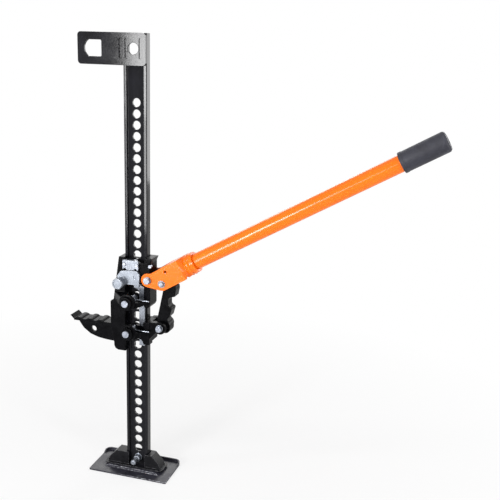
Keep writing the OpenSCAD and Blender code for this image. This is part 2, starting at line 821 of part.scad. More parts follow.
// Latch bracket: zinc plate across the runner's front opening, with a hooked top edge
module latch_bracket() color(zinc) difference() {
    union() {
        slab_y(-runner_front - bracket_t, -runner_front)
            translate([bracket_x0 + bracket_w / 2, bracket_z0 + bracket_h / 2])
            rounded_rect(bracket_w, bracket_h, bracket_corner_r);
        block(bracket_x0 + bracket_corner_r, bracket_x1 - bracket_corner_r,
            -runner_front - bracket_t, -runner_front + bracket_hook,
            bracket_z1 - bracket_hook_t, bracket_z1);
    }
    for (share = bracket_notch_shares)
        rod_y(bracket_x0 + share * bracket_w, bracket_z0, bracket_notch_r,
            -runner_front - bracket_t - cut, -runner_front + cut);
    for (x = bracket_screw_x)
        rod_y(x, bracket_screw_z, bracket_screw_r + bore_play,
            -runner_front - bracket_t - cut, -runner_front + cut);
    block(bracket_lip_x - slide_gap, bracket_x1, -runner_front,
        -runner_front + bracket_hook + cut, bracket_z0, bracket_z1 + cut);
    block(bracket_x0, -lip_x + slide_gap, -runner_front,
        -runner_front + bracket_hook + cut, bracket_z0, bracket_z1 + cut);
}

// Two screws that hold the latch bracket
module bracket_screws() color(zinc) for (x = bracket_screw_x) {
    rod_y(x, bracket_screw_z, bracket_screw_r,
        -runner_front - bracket_t, -runner_front + bracket_screw_in - seat_gap);
    cone_y(x, bracket_screw_z, bracket_screw_head_r - head_edge, bracket_screw_head_r,
        -runner_front - bracket_t - bracket_screw_head_t, -runner_front - bracket_t);
}

// Reversing latch: curved arm with a round knob, turning on the latch pivot pin
module latch_outline() {
    x_left = knob_x - knob_r;
    low_z = knob_z - knob_r / 3;
    polygon([
        [x_left + knob_r / 4, knob_z + knob_r], [x_left + knob_r, latch_top_z - latch_t / 2],
        [latch_pivot_x + latch_t, latch_top_z],
        [latch_x1 - latch_t, latch_top_z], [latch_x1, latch_top_z - latch_t],
        [latch_x1, rivet_z - latch_t], [latch_x1 - latch_t / 3, rod_shoulder_z + latch_t / 3],
        [latch_x1 - latch_t, rod_shoulder_z + latch_t],
        [latch_pivot_x + latch_t, rod_shoulder_z + latch_t],
        [knob_x + knob_r / 2, low_z]]);
}

module reversing_latch() color(zinc) difference() {
    union() {
        slab_y(-latch_y0, -latch_y0 + latch_t) latch_outline();
        rod_y(knob_x, knob_z, knob_r, -knob_y + knob_rim / 2, -latch_y0 + latch_t);
        cone_y(knob_x, knob_z, knob_r - knob_rim / 2, knob_r, -knob_y, -knob_y + knob_rim / 2);
    }
    rod_y(knob_x, knob_z, knob_r - knob_rim, -knob_y - cut, -knob_y + knob_dish);
    rod_y(latch_pivot_x, latch_pivot_z, latch_pin_r + bore_play,
        -latch_y0 + latch_t / 4, -latch_y0 + latch_t + cut);
    rod_y(rivet_x, rivet_z, rivet_r + bore_play, -latch_y0 - cut, -latch_y0 + latch_t + cut);
}

// Pin that the latch turns on, fixed in the large runner and ending blind in the latch
module latch_pivot_pin() color(zinc)
    rod_y(latch_pivot_x, latch_pivot_z, latch_pin_r,
        -latch_y0 + latch_t / 4 + seat_gap, -inner_y - slide_gap);

// Latch rod: flat bar that the latch lifts, running down past both pin bosses
module latch_rod() color(zinc) difference() {
    slab_y(-rod_y0, -rod_y0 + rod_t) {
        polygon([
            [rod_x0, rod_low_z], [rod_x0 + rod_w, rod_low_z],
            [rod_x0 + rod_w, rod_shoulder_z - rod_t / 2],
            [rod_x0 + rod_w - rod_t / 2, rod_shoulder_z],
            [rivet_x + rod_head_r, rod_shoulder_z + rod_t], [rivet_x + rod_head_r, rivet_z],
            [rivet_x - rod_head_r, rivet_z], [rivet_x - rod_head_r, rod_head_low_z],
            [rod_head_x, rod_head_low_z], [rod_x0, rod_neck_z]]);
        translate([rivet_x, rivet_z]) circle(rod_head_r);
    }
    rod_y(rivet_x, rivet_z, rivet_r + rod_eye_play, -rod_y0 - cut, -rod_y0 + rod_t + cut);
}

// Rivet that carries the rod on the latch, sunk below the latch's face
module rod_rivet() color(zinc)
    rod_y(rivet_x, rivet_z, rivet_r, -latch_y0 + rivet_recess, -rivet_back);

// Climbing pin: shank with a chamfered tip and a larger head
module climbing_pin(z, front) color(zinc) difference() {
    union() {
        rod_y(0, z, pin_r, -front, -pin_tip_y - pin_chamfer);
        cone_y(0, z, pin_r, pin_r - pin_chamfer, -pin_tip_y - pin_chamfer, -pin_tip_y);
        rod_y(0, z, pin_head_r, -front - head_t + head_edge, -front);
        cone_y(0, z, pin_head_r - head_edge, pin_head_r,
            -front - head_t, -front - head_t + head_edge);
    }
    translate([-pin_r - cut, -cross_pin_y, z]) rotate([0, 90, 0])
        cylinder(r = cross_pin_r + bore_play, h = 2 * (pin_r + cut));
}

module upper_climbing_pin() climbing_pin(upper_pin_z, upper_boss_front);
module lower_climbing_pin() climbing_pin(lower_pin_z, lower_boss_front);

// Pin spring: one unbroken wire, wound from ring to ring
function spring_point(length, t) =
    let (turn = 360 * spring_curls * t)
    [spring_r * cos(turn), -boss_back + spring_wire_r + spring_end + length * t,
        spring_r * sin(turn)];
function spring_ring(length, t) =
    let (
        turn = 360 * spring_curls * t,
        out = [cos(turn), 0, sin(turn)],
        rise = length / (spring_curls * 2 * PI * spring_r),
        along = [-sin(turn), rise, cos(turn)] / sqrt(1 + rise * rise),
        side = cross(along, out),
        middle = spring_point(length, t))
    [for (i = [0 : spring_sides - 1])
        middle + spring_wire_r * (cos(360 * i / spring_sides) * out
            + sin(360 * i / spring_sides) * side)];

module pin_spring(z) color(zinc) {
    length = boss_back - washer_front - 2 * (spring_wire_r + spring_end);
    steps = spring_curls * spring_rings;
    points = [for (k = [0 : steps]) each spring_ring(length, k / steps)];
    last = steps * spring_sides;
    sides = [for (k = [0 : steps - 1], i = [0 : spring_sides - 1])
        let (a = k * spring_sides + i, b = k * spring_sides + (i + 1) % spring_sides)
        each [[a, b, b + spring_sides], [a, b + spring_sides, a + spring_sides]]];
    caps = [for (i = [1 : spring_sides - 2])
        each [[0, i + 1, i], [last, last + i, last + i + 1]]];
    gaps = [for (k = [0 : steps - spring_rings])
        norm(spring_point(length, (k + spring_rings) / steps)
            - spring_point(length, k / steps)) - 2 * spring_wire_r];
    echo("least gap between the curls of a pin spring", min(gaps));
    translate([0, 0, z]) polyhedron(points, concat(sides, caps));
}

module upper_pin_spring() pin_spring(upper_pin_z);
module lower_pin_spring() pin_spring(lower_pin_z);

// Washer between a spring and its cross pin
module spring_washer(z) color(zinc)
    washer_y(0, z, washer_r, pin_r + bore_play, -washer_front, -washer_back);

module upper_spring_washer() spring_washer(upper_pin_z);
module lower_spring_washer() spring_washer(lower_pin_z);

// Cross pin through a climbing pin, which the spring pushes on, reaching right over the horn
module cross_pin(z) color(zinc)
    translate([cross_pin_x0, -cross_pin_y, z]) rotate([0, 90, 0])
        cylinder(r = cross_pin_r, h = cross_pin_x1 - cross_pin_x0);

module upper_cross_pin() cross_pin(upper_pin_z);
module lower_cross_pin() cross_pin(lower_pin_z);

// Small runner: casting round the bar's right flange with the lower pin boss and the link ears
module small_runner() color(black_paint) {
    difference() {
        union() {
            // Right wall
            slab_y(-small_front, small_back) polygon([
                [inner_x, small_top_z], [small_wall_x, small_top_z],
                [small_wall_x, small_low_z + guide_round_r / 2],
                [small_wall_x - guide_round_r / 2, small_low_z], [inner_x, small_low_z]]);
            block(rod_x0 + rod_w + slide_gap, small_wall_x, -small_front, -inner_y,
                small_low_z, small_top_z);
            // Back lip
            block(small_back_lip_x, small_wall_x, inner_y, small_back, small_back_z0, small_top_z);
            // Front plate, from the ears across to the boss
            slab_y(-small_front, -small_front + small_plate_t) polygon([
                [-boss_r, lower_pin_z + boss_r / 2], [-boss_r, lower_pin_z - boss_r / 2],
                [0, small_plate_z0], [channel_x, small_plate_z0 - boss_r / 2],
                [inner_x, small_low_z], [small_wall_x, small_low_z],
                [small_wall_x, small_top_z], [0, small_top_z]]);
            // Ears
            for (side = [-1, 1]) {
                y0 = side < 0 ? -ear_outer : ear_inner;
                y1 = side < 0 ? -ear_inner : ear_outer;
                rod_y(ear_x, ear_z, ear_r, y0, y1);
                slab_y(y0, y1) polygon([
                    [inner_x, small_top_z], [ear_x - ear_r / 2, ear_z + ear_r * sin(60)],
                    [ear_x, ear_z], [ear_x - ear_r * sin(35), ear_z - ear_r * cos(35)],
                    [small_wall_x, small_low_z + ear_r], [inner_x, small_low_z + ear_r]]);
            }
            block(inner_x, small_wall_x, small_back, ear_outer,
                small_low_z + ear_r, small_top_z);
            // Pin boss with a cradle under the spring
            pin_boss(lower_pin_z, lower_boss_front);
            horn(lower_pin_z, lower_boss_front, small_wall_x);
            intersection() {
                rod_y(0, lower_pin_z, boss_r, -boss_back, -small_front);
                block(-boss_r, boss_r, -lower_boss_front, 0,
                    lower_pin_z - boss_r, lower_pin_z - boss_r / 3);
            }
            rod_y(0, lower_pin_z, guide_r, -guide_front, -inner_y);
            block(-guide_r / 2, guide_r / 2, -small_front, -inner_y,
                small_plate_z0, lower_pin_z - guide_r + cut);
        }
        pin_bores(lower_pin_z, lower_boss_front);
        block(-2 * boss_r, rod_x0 + rod_w + slide_gap, -boss_back, -inner_y,
            lower_pin_z + guide_r, small_top_z + cut);
        rod_y(ear_x, ear_z, bolt_c_r + bore_play, -ear_outer - cut, ear_outer + cut);
        block(-inner_x, inner_x, -inner_y, inner_y, small_low_z - cut, small_top_z + cut);
        // The link's space between the ears
        block(small_wall_x, ear_x + 2 * ear_r, -ear_inner, ear_inner,
            small_low_z - cut, small_top_z + ear_r);
    }
}

// Link between handle and small runner, with a hooked notch on its right edge
module pitman_link() color(black_paint) {
    slot_x0 = ear_x - bolt_c_r - link_slot_back;
    slot_x1 = ear_x + bolt_c_r + link_slot_reach;
    slot_z0 = ear_z - bolt_c_r - link_slot_down;
    slot_z1 = ear_z + bolt_c_r + link_slot_up;
    difference() {
        union() {
            slab_y(-link_t / 2, link_t / 2) {
                polygon([for (p = concat(link_left_shares, link_right_shares))
                    [ear_x + link_length * p[1], ear_z + link_length * p[0]]]);
                translate([(slot_x0 + slot_x1) / 2, (slot_z0 + slot_z1) / 2])
                    rounded_rect(slot_x1 - slot_x0 + link_eye_r / 2,
                        2 * link_eye_r - slide_gap, link_eye_r * 0.8);
            }
            rod_y(link_top_x, link_top_z, link_eye_r, -link_t / 2, link_t / 2);
            rod_y(link_top_x, link_top_z, link_hub_r, -lug_y, lug_y);
        }
        rod_y(link_top_x, link_top_z, bolt_b_r + bore_play, -lug_y - cut, lug_y + cut);
        slab_y(-link_t / 2 - cut, link_t / 2 + cut)
            translate([(slot_x0 + slot_x1) / 2, (slot_z0 + slot_z1) / 2])
            rounded_rect(slot_x1 - slot_x0, slot_z1 - slot_z0, bolt_c_r);
    }
}

// Puts a shape drawn in the handle's own axes in its place
module on_handle() {
    translate([pivot_x, 0, pivot_z]) rotate([0, -handle_angle, 0]) children();
}

// A round rod along the handle's axis
module rod_s(r, s0, s1) {
    translate([s0, 0, -axis_drop]) rotate([0, 90, 0]) cylinder(r = r, h = s1 - s0);
}

// Outline of one cheek of the handle socket, in s and h
module cheek_outline() {
    circle(eye_r);
    polygon([
        [-eye_r * sin(32), -eye_r * cos(32)], [cheek_corner_s * 0.7, cheek_corner_h * 0.9],
        [cheek_corner_s, cheek_corner_h], [cheek_corner_s * 1.4, cheek_corner_h],
        [cheek_end_s, cheek_low_h], [cheek_end_s, cheek_top_h],
        [cheek_end_s * 0.6, cheek_top_h], [eye_r, cheek_waist_h],
        [eye_r * sin(40), eye_r * cos(40)]]);
}

// Handle socket: two cheeks at the pivot that close into a round collar on the tube
module handle_socket() color(orange_paint) on_handle() difference() {
    collar_top = collar_r - axis_drop;
    union() {
        for (side = [-1, 1])
            translate([0, side > 0 ? cheek_outer : -cheek_inner, 0]) rotate([90, 0, 0])
                linear_extrude(cheek_t) cheek_outline();
        difference() {
            hull() {
                block(cheek_end_s - cut, cheek_end_s, -cheek_outer, cheek_outer,
                    cheek_low_h, cheek_top_h);
                rod_s(collar_r, collar_s0 - cut, collar_s0);
            }
            hull() {
                block(cheek_end_s - 2 * cut, cheek_end_s - cut, -cheek_inner, cheek_inner,
                    cheek_low_h + cheek_t, cheek_top_h - cheek_t);
                rod_s(collar_r - cheek_t, collar_s0, collar_s0 + cut);
            }
            block(0, cheek_end_s + cheek_t, -cheek_inner, cheek_inner,
                cheek_low_h - cut, 0);
        }
        block(spine_s0, cheek_end_s, -cheek_outer, cheek_outer, cheek_top_h - cheek_t, cheek_top_h);
        rod_s(collar_r, collar_s0, collar_s1);
        for (i = [0, 1])
            translate([collar_s0 + i * collar_rim_step, 0, -axis_drop]) rotate([0, 90, 0]) {
                cylinder(r1 = collar_r, r2 = collar_rim_r, h = collar_rim_w / 2);
                translate([0, 0, collar_rim_w / 2])
                    cylinder(r1 = collar_rim_r, r2 = collar_r, h = collar_rim_w / 2);
            }
    }
    rod_s(collar_bore_r, collar_s0 - cheek_t * 2, collar_s1 + cut);
    rod_y(0, 0, bolt_a_r + bore_play, -cheek_outer - cut, cheek_outer + cut);
    rod_y(lever_arm * cos(lever_low), -lever_arm * sin(lever_low), bolt_b_r + bore_play,
        -cheek_outer - cut, cheek_outer + cut);
    rod_y(spare_hole_s, 0, spare_hole_r, -cheek_outer - cut, cheek_outer + cut);
}

// Handle tube
module handle_tube() color(orange_paint) on_handle() difference() {
    rod_s(tube_r, tube_s0, handle_length - tube_end_gap);
    rod_s(tube_r - tube_wall, tube_s0 - cut, handle_length - tube_end_gap + cut);
}

// Grip: rubber sleeve with a rounded closed end and a thicker lip at its mouth
module handle_grip() color(grip_rubber) on_handle() {
    s0 = handle_length - grip_length;
    translate([0, 0, -axis_drop]) rotate([0, 90, 0]) rotate_extrude() difference() {
        union() {
            square([grip_r, handle_length - grip_end_r]);
            square([grip_r - grip_end_r, handle_length]);
            translate([grip_r - grip_end_r, handle_length - grip_end_r]) circle(grip_end_r);
            translate([0, s0]) square([grip_lip_r, grip_lip_w]);
        }
        translate([-cut, -cut]) square([grip_lip_r + 2 * cut, s0 + cut]);
        translate([-cut, s0 - cut])
            square([tube_r + bore_play + cut, grip_length - tube_end_gap + seat_gap + cut]);
        translate([-grip_r - cut, 0]) square([grip_r + cut, handle_length + cut]);
    }
}

// A hexagon-headed bolt along Y, its head at the front
module hex_bolt(x, z, r, across_flats, y_seat, y_end) {
    hex_y(x, z, across_flats, -y_seat - bolt_head_t, -y_seat, nut_chamfer);
    rod_y(x, z, r, -y_seat, y_end - nut_chamfer);
    cone_y(x, z, r, r - nut_chamfer, y_end - nut_chamfer, y_end);
}

// A hexagon nut along Y at the back
module hex_nut(x, z, r, across_flats, y_seat) difference() {
    mirror([0, 1, 0])
        hex_y(x, z, across_flats, -y_seat - nut_t, -y_seat, nut_chamfer);
    rod_y(x, z, r + bore_play, y_seat - cut, y_seat + nut_t + cut);
}

// Front and back washers of a bolt
module washer_pair(x, z, r, y_seat) {
    washer_y(x, z, r + bolt_washer_wide, r + bore_play, -y_seat - bolt_washer_t, -y_seat);
    washer_y(x, z, r + bolt_washer_wide, r + bore_play, y_seat, y_seat + bolt_washer_t);
}

module handle_pivot_bolt() color(zinc)
    hex_bolt(pivot_x, pivot_z, bolt_a_r, head_a_af, a_seat + bolt_washer_t,
        a_seat + bolt_washer_t + nut_t + bolt_end);
module handle_pivot_nut() color(zinc)
    hex_nut(pivot_x, pivot_z, bolt_a_r, head_a_af, a_seat + bolt_washer_t);
module handle_pivot_washers() color(zinc) washer_pair(pivot_x, pivot_z, bolt_a_r, a_seat);

// Round-headed bolt through the cheeks and the link's upper eye
module link_bolt() color(zinc) {
    seat = b_seat + bolt_washer_t;
    tail = seat + nut_t + bolt_end;
    rod_y(link_top_x, link_top_z, head_b_r, -seat - bolt_head_t * (1 - dome_share), -seat);
    cone_y(link_top_x, link_top_z, head_b_r * (1 - dome_share), head_b_r,
        -seat - bolt_head_t, -seat - bolt_head_t * (1 - dome_share));
    rod_y(link_top_x, link_top_z, bolt_b_r, -seat, tail);
}
module link_nut() color(zinc)
    hex_nut(link_top_x, link_top_z, bolt_b_r, head_c_af, b_seat + bolt_washer_t);
module link_washers() color(zinc) washer_pair(link_top_x, link_top_z, bolt_b_r, b_seat);

module runner_bolt() color(zinc)
    hex_bolt(ear_x, ear_z, bolt_c_r, head_c_af, c_seat + bolt_washer_t,
        c_seat + bolt_washer_t + nut_t + bolt_end);
module runner_nut() color(zinc)
    hex_nut(ear_x, ear_z, bolt_c_r, head_c_af, c_seat + bolt_washer_t);
module runner_washers() color(zinc) washer_pair(ear_x, ear_z, bolt_c_r, c_seat);

base_plate();
base_socket();
base_pin();
base_pin_clip();
standard_bar();
top_plate();
top_plate_welds();
large_runner();
runner_screw();
latch_bracket();
bracket_screws();
reversing_latch();
latch_pivot_pin();
latch_rod();
rod_rivet();
upper_climbing_pin();
upper_pin_spring();
upper_spring_washer();
upper_cross_pin();
lower_climbing_pin();
lower_pin_spring();
lower_spring_washer();
lower_cross_pin();
small_runner();
pitman_link();
handle_socket();
handle_tube();
handle_grip();
handle_pivot_bolt();
handle_pivot_nut();
handle_pivot_washers();
link_bolt();
link_nut();
link_washers();
runner_bolt();
runner_nut();
runner_washers();
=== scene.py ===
import json
import math
import bpy
import bmesh
from mathutils import Matrix, Vector
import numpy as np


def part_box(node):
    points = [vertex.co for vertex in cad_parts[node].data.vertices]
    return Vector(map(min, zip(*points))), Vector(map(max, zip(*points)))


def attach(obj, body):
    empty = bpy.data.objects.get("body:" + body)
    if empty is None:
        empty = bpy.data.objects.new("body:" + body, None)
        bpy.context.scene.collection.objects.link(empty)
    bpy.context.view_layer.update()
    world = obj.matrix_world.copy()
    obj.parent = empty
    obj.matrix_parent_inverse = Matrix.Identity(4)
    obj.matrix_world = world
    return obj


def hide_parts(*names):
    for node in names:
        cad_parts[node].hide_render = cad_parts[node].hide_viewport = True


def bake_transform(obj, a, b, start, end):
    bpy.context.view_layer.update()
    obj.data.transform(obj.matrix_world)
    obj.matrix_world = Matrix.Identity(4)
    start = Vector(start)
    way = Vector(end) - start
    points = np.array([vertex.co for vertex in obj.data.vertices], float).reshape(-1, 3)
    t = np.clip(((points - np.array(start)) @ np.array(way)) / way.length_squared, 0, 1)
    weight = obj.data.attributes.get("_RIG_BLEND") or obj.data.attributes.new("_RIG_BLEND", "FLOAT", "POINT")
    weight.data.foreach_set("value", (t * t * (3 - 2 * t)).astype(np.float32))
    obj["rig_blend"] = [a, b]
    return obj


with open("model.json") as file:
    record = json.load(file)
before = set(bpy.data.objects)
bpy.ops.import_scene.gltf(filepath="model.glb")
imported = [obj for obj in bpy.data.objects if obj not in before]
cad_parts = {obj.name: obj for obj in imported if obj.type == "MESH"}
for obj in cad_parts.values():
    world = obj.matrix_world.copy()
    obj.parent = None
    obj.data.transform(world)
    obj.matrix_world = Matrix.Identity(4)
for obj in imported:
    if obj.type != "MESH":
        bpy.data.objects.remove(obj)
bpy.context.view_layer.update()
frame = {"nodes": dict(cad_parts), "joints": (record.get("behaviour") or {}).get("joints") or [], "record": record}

mm = 0.001
scene = bpy.context.scene
scene.view_settings.view_transform = "Standard"
bodyOf = {node: body for body, nodes in frame["record"]["behaviour"]["bodies"].items() for node in nodes}
jointPlace = {joint["name"]: Vector(joint["pos_m"]) for joint in frame["joints"] if "pos_m" in joint}


# camera, in the place the jack was photographed from
camera = {
    "place": (0.63315, -1.376995, 0.887314),
    "turn": 16.053,  # degrees to the left of the +Y direction
    "tilt": 14.598,  # degrees below the horizon
    "roll": 1.856,
    "lens": 54.98,
    "sensor": 36,
    "clipStart": 0.05,
}


def makeCamera():
    lens = bpy.data.cameras.new("photoCamera")
    lens.lens = camera["lens"]
    lens.sensor_width = camera["sensor"]
    lens.clip_start = camera["clipStart"]
    viewer = bpy.data.objects.new("photoCamera", lens)
    turn = Matrix.Rotation(math.radians(camera["turn"]), 4, "Z")
    tilt = Matrix.Rotation(math.radians(90 - camera["tilt"]), 4, "X")
    roll = Matrix.Rotation(math.radians(camera["roll"]), 4, "Z")
    viewer.matrix_world = Matrix.Translation(camera["place"]) @ turn @ tilt @ roll
    scene.collection.objects.link(viewer)
    scene.camera = viewer


# studio: pale floor, white surroundings, and soft lamps
white = (1, 1, 1, 1)
studio = {
    "floorSize": 60,
    "floorColour": (0.96, 0.96, 0.965, 1),
    "glowReach": (0.3, 1.1),  # metres from the bar
    "glowShare": (0.72, 1.0),  # of plain white in the floor that the camera sees, near and far
    "ambient": 0.2,
    "lamps": {
        # name: (place, aims at, width, height, turned by, watts)
        "tallSoftbox": ((-0.73, -2.0, 0.79), (0, 0, 0.79), 0.40, 0.46, 0, 21),
        "lowSoftbox": ((-0.73, -2.0, 0.29), (0, 0, 0.29), 0.40, 0.5, 0, 13),
        "handleStrip": ((-0.275, -1.66, 0.79), (0.30, 0, 0.70), 0.68, 0.26, 30, 5),
        "leftStrip": ((-1.9, -1.1, 0.85), (0, 0, 0.65), 0.22, 1.0, 0, 12),
        "rightStrip": ((1.9, -0.9, 0.8), (0, 0, 0.6), 0.25, 1.0, 0, 10),
        "topStrip": ((0.35, -0.75, 2.3), (0.2, 0, 0.45), 1.5, 0.35, 0, 9),
        "flangeBox": ((1.7, 0.1, 1.0), (0, 0, 0.7), 0.5, 1.1, 0, 3),
        "backFill": ((0.95, 2.05, 1.0), (0, 0, 0.5), 0.8, 1.6, 0, 14),
        "backSheen": ((-0.85, 1.9, 1.35), (0, 0, 0.2), 1.2, 0.8, 0, 10),
    },
}


def linkNodes(tree, pairs):
    for source, target in pairs:
        tree.links.new(source, target)


def makeStudio():
    makeWorld()
    makeFloor()
    makeLamps()
    print("studio made:", len(studio["lamps"]), "lamps")


def makeWorld():
    # rays that look at the surroundings meet plain white, and all others a dimmer light
    world = bpy.data.worlds.new("studioWorld")
    scene.world = world
    world.use_nodes = True
    tree = world.node_tree
    tree.nodes.clear()
    output = tree.nodes.new("ShaderNodeOutputWorld")
    mix = tree.nodes.new("ShaderNodeMixShader")
    path = tree.nodes.new("ShaderNodeLightPath")
    seen = mathNode(tree, "MAXIMUM", path.outputs["Is Camera Ray"], path.outputs["Is Glossy Ray"])
    linkNodes(tree, [
        (mathNode(tree, "MAXIMUM", seen, path.outputs["Is Transmission Ray"]), mix.inputs[0]),
        (backgroundNode(tree, studio["ambient"]), mix.inputs[1]),
        (backgroundNode(tree, 1), mix.inputs[2]),
        (mix.outputs[0], output.inputs["Surface"]),
    ])


def backgroundNode(tree, strength):
    background = tree.nodes.new("ShaderNodeBackground")
    background.inputs["Color"].default_value = white
    background.inputs["Strength"].default_value = strength
    return background.outputs[0]


def makeFloor():
    mesh = bpy.data.meshes.new("studioFloor")
    bm = bmesh.new()
    bmesh.ops.create_grid(bm, x_segments=1, y_segments=1, size=studio["floorSize"] / 2)
    bm.to_mesh(mesh)
    bm.free()
    mesh.materials.append(floorMaterial())
    floor = bpy.data.objects.new("studioFloor", mesh)
    scene.collection.objects.link(floor)


def makeLamps():
    for name, (place, target, width, height, lean, watts) in studio["lamps"].items():
        lamp = bpy.data.lights.new(name, "AREA")
        lamp.shape = "RECTANGLE"
        lamp.size = width
        lamp.size_y = height
        lamp.energy = watts
        holder = bpy.data.objects.new(name, lamp)
        holder.location = place
        aim = (Vector(target) - Vector(place)).to_track_quat("-Z", "Y").to_matrix()
        holder.rotation_euler = (aim @ Matrix.Rotation(math.radians(lean), 3, "Z")).to_euler()
        holder.visible_camera = False
        scene.collection.objects.link(holder)


def floorMaterial():
    # matt for the light, and whiter with the distance from the bar where it is looked at
    material = bpy.data.materials.new("paleFloor")
    material.use_nodes = True
    tree = material.node_tree
    tree.nodes.clear()
    output = tree.nodes.new("ShaderNodeOutputMaterial")
    mix = tree.nodes.new("ShaderNodeMixShader")
    matt = tree.nodes.new("ShaderNodeBsdfDiffuse")
    matt.inputs["Color"].default_value = studio["floorColour"]
    glow = tree.nodes.new("ShaderNodeEmission")
    glow.inputs["Color"].default_value = white
    glow.inputs["Strength"].default_value = 1
    place = tree.nodes.new("ShaderNodeTexCoord")
    distance = tree.nodes.new("ShaderNodeVectorMath")
    distance.operation = "LENGTH"
    path = tree.nodes.new("ShaderNodeLightPath")
    seen = mathNode(tree, "MAXIMUM", path.outputs["Is Camera Ray"], path.outputs["Is Glossy Ray"])
    share = rangeNode(tree, distance.outputs["Value"], *studio["glowReach"], *studio["glowShare"])
    linkNodes(tree, [
        (place.outputs["Object"], distance.inputs[0]),
        (mathNode(tree, "MULTIPLY", seen, share), mix.inputs[0]),
        (matt.outputs[0], mix.inputs[1]),
        (glow.outputs[0], mix.inputs[2]),
        (mix.outputs[0], output.inputs["Surface"]),
    ])
    return material


# effects that several finishes share
effects = {
    "mottle": (0.32, 0.68),  # noise from here to here becomes a full change
    "breakup": (0.42, 0.62),
    "scratchStretch": (1, 1, 0.12),
    "scratchTurn": (0.4, 0.9, 0.2),
    "scratchBlend": 0.08,
}


def newGroup(name, inputs, outputs):
    group = bpy.data.node_groups.new(name, "ShaderNodeTree")
    for label, value in inputs.items():
        socket = group.interface.new_socket(label, in_out="INPUT", socket_type="NodeSocketFloat")
        socket.default_value = value
    for label in outputs:
        group.interface.new_socket(label, in_out="OUTPUT", socket_type="NodeSocketFloat")
    source = group.nodes.new("NodeGroupInput")
    result = group.nodes.new("NodeGroupOutput")
    return group, source, result


def noiseNode(tree, detail, roughness=0.5):
    noise = tree.nodes.new("ShaderNodeTexNoise")
    noise.inputs["Detail"].default_value = detail
    noise.inputs["Roughness"].default_value = roughness
    place = tree.nodes.new("ShaderNodeTexCoord")
    tree.links.new(place.outputs["Object"], noise.inputs["Vector"])
    return noise


def rangeNode(tree, value, fromLow, fromHigh, toLow=0, toHigh=1):
    # the four limits are numbers or sockets
    span = tree.nodes.new("ShaderNodeMapRange")
    limits = {"From Min": fromLow, "From Max": fromHigh, "To Min": toLow, "To Max": toHigh, "Value": value}
    for label, limit in limits.items():
        feed(tree, limit, span.inputs[label])
    return span.outputs["Result"]


def feed(tree, value, socket):
    if isinstance(value, (int, float)):
        socket.default_value = value
    else:
        tree.links.new(value, socket)


def mathNode(tree, operation, first, second):
    node = tree.nodes.new("ShaderNodeMath")
    node.operation = operation
    feed(tree, first, node.inputs[0])
    feed(tree, second, node.inputs[1])
    return node.outputs[0]


def makeSkinGroup():
    # fine orange peel of a sprayed or dipped coat, with broad soft unevenness
    group, source, result = newGroup("coatSkin", {"Peel": 700, "Broad": 28}, ["Height", "Mottle"])
    peel = noiseNode(group, detail=3)
    broad = noiseNode(group, detail=5, roughness=0.6)
    linkNodes(group, [
        (source.outputs["Peel"], peel.inputs["Scale"]),
        (source.outputs["Broad"], broad.inputs["Scale"]),
        (peel.outputs[0], result.inputs["Height"]),
        (rangeNode(group, broad.outputs[0], *effects["mottle"]), result.inputs["Mottle"]),
    ])
    return group


def makeEdgeGroup():
    # rubbed edges and painted edge highlights: bevels marked on the mesh and, on castings, all that is convex,
    # broken up by noise
    sockets = {"Start": 0.53, "End": 0.62, "Breakup": 160, "Convex": 1}
    group, source, result = newGroup("edgeWearAndGlint", sockets, ["Mask"])
    shape = group.nodes.new("ShaderNodeNewGeometry")
    bevels = group.nodes.new("ShaderNodeAttribute")
    bevels.attribute_name = "bevel"
    breakup = noiseNode(group, detail=6, roughness=0.65)
    group.links.new(source.outputs["Breakup"], breakup.inputs["Scale"])
    edge = rangeNode(group, shape.outputs["Pointiness"], source.outputs["Start"], source.outputs["End"])
    broken = rangeNode(group, breakup.outputs[0], *effects["breakup"])
    convex = mathNode(group, "MULTIPLY", edge, source.outputs["Convex"])
    edges = mathNode(group, "MAXIMUM", convex, bevels.outputs["Fac"])
    group.links.new(mathNode(group, "MULTIPLY", edges, broken), result.inputs["Mask"])
    return group


def makeScuffGroup():
    # thin scratches and rubbed patches
    group, source, result = newGroup("scuffs", {"Scale": 60, "Cover": 0.6}, ["Mask"])
    place = group.nodes.new("ShaderNodeTexCoord")
    stretch = group.nodes.new("ShaderNodeMapping")
    stretch.inputs["Scale"].default_value = effects["scratchStretch"]
    stretch.inputs["Rotation"].default_value = effects["scratchTurn"]
    lines = group.nodes.new("ShaderNodeTexNoise")
    lines.inputs["Detail"].default_value = 8
    lines.inputs["Roughness"].default_value = 0.7
    cover = source.outputs["Cover"]
    full = mathNode(group, "ADD", cover, effects["scratchBlend"])
    linkNodes(group, [
        (place.outputs["Object"], stretch.inputs["Vector"]),
        (stretch.outputs["Vector"], lines.inputs["Vector"]),
        (source.outputs["Scale"], lines.inputs["Scale"]),
        (rangeNode(group, lines.outputs[0], cover, full), result.inputs["Mask"]),
    ])
    return group


def makePlatingGroup():
    # cloudy patches and fine grain of zinc plating
    group, source, result = newGroup("zincPlating", {"Cloud": 90, "Grain": 1500}, ["Shade", "Height"])
    cells = group.nodes.new("ShaderNodeTexVoronoi")
    place = group.nodes.new("ShaderNodeTexCoord")
    cloud = noiseNode(group, detail=4, roughness=0.6)
    grain = noiseNode(group, detail=3)
    linkNodes(group, [
        (place.outputs["Object"], cells.inputs["Vector"]),
        (source.outputs["Cloud"], cells.inputs["Scale"]),
        (source.outputs["Cloud"], cloud.inputs["Scale"]),
        (source.outputs["Grain"], grain.inputs["Scale"]),
        (mathNode(group, "MULTIPLY", cells.outputs["Distance"], cloud.outputs[0]), result.inputs["Shade"]),
        (grain.outputs[0], result.inputs["Height"]),
    ])
    return group


def addGroup(tree, group, **values):
    node = tree.nodes.new("ShaderNodeGroup")
    node.node_tree = group
    for label, value in values.items():
        node.inputs[label].default_value = value
    return node.outputs


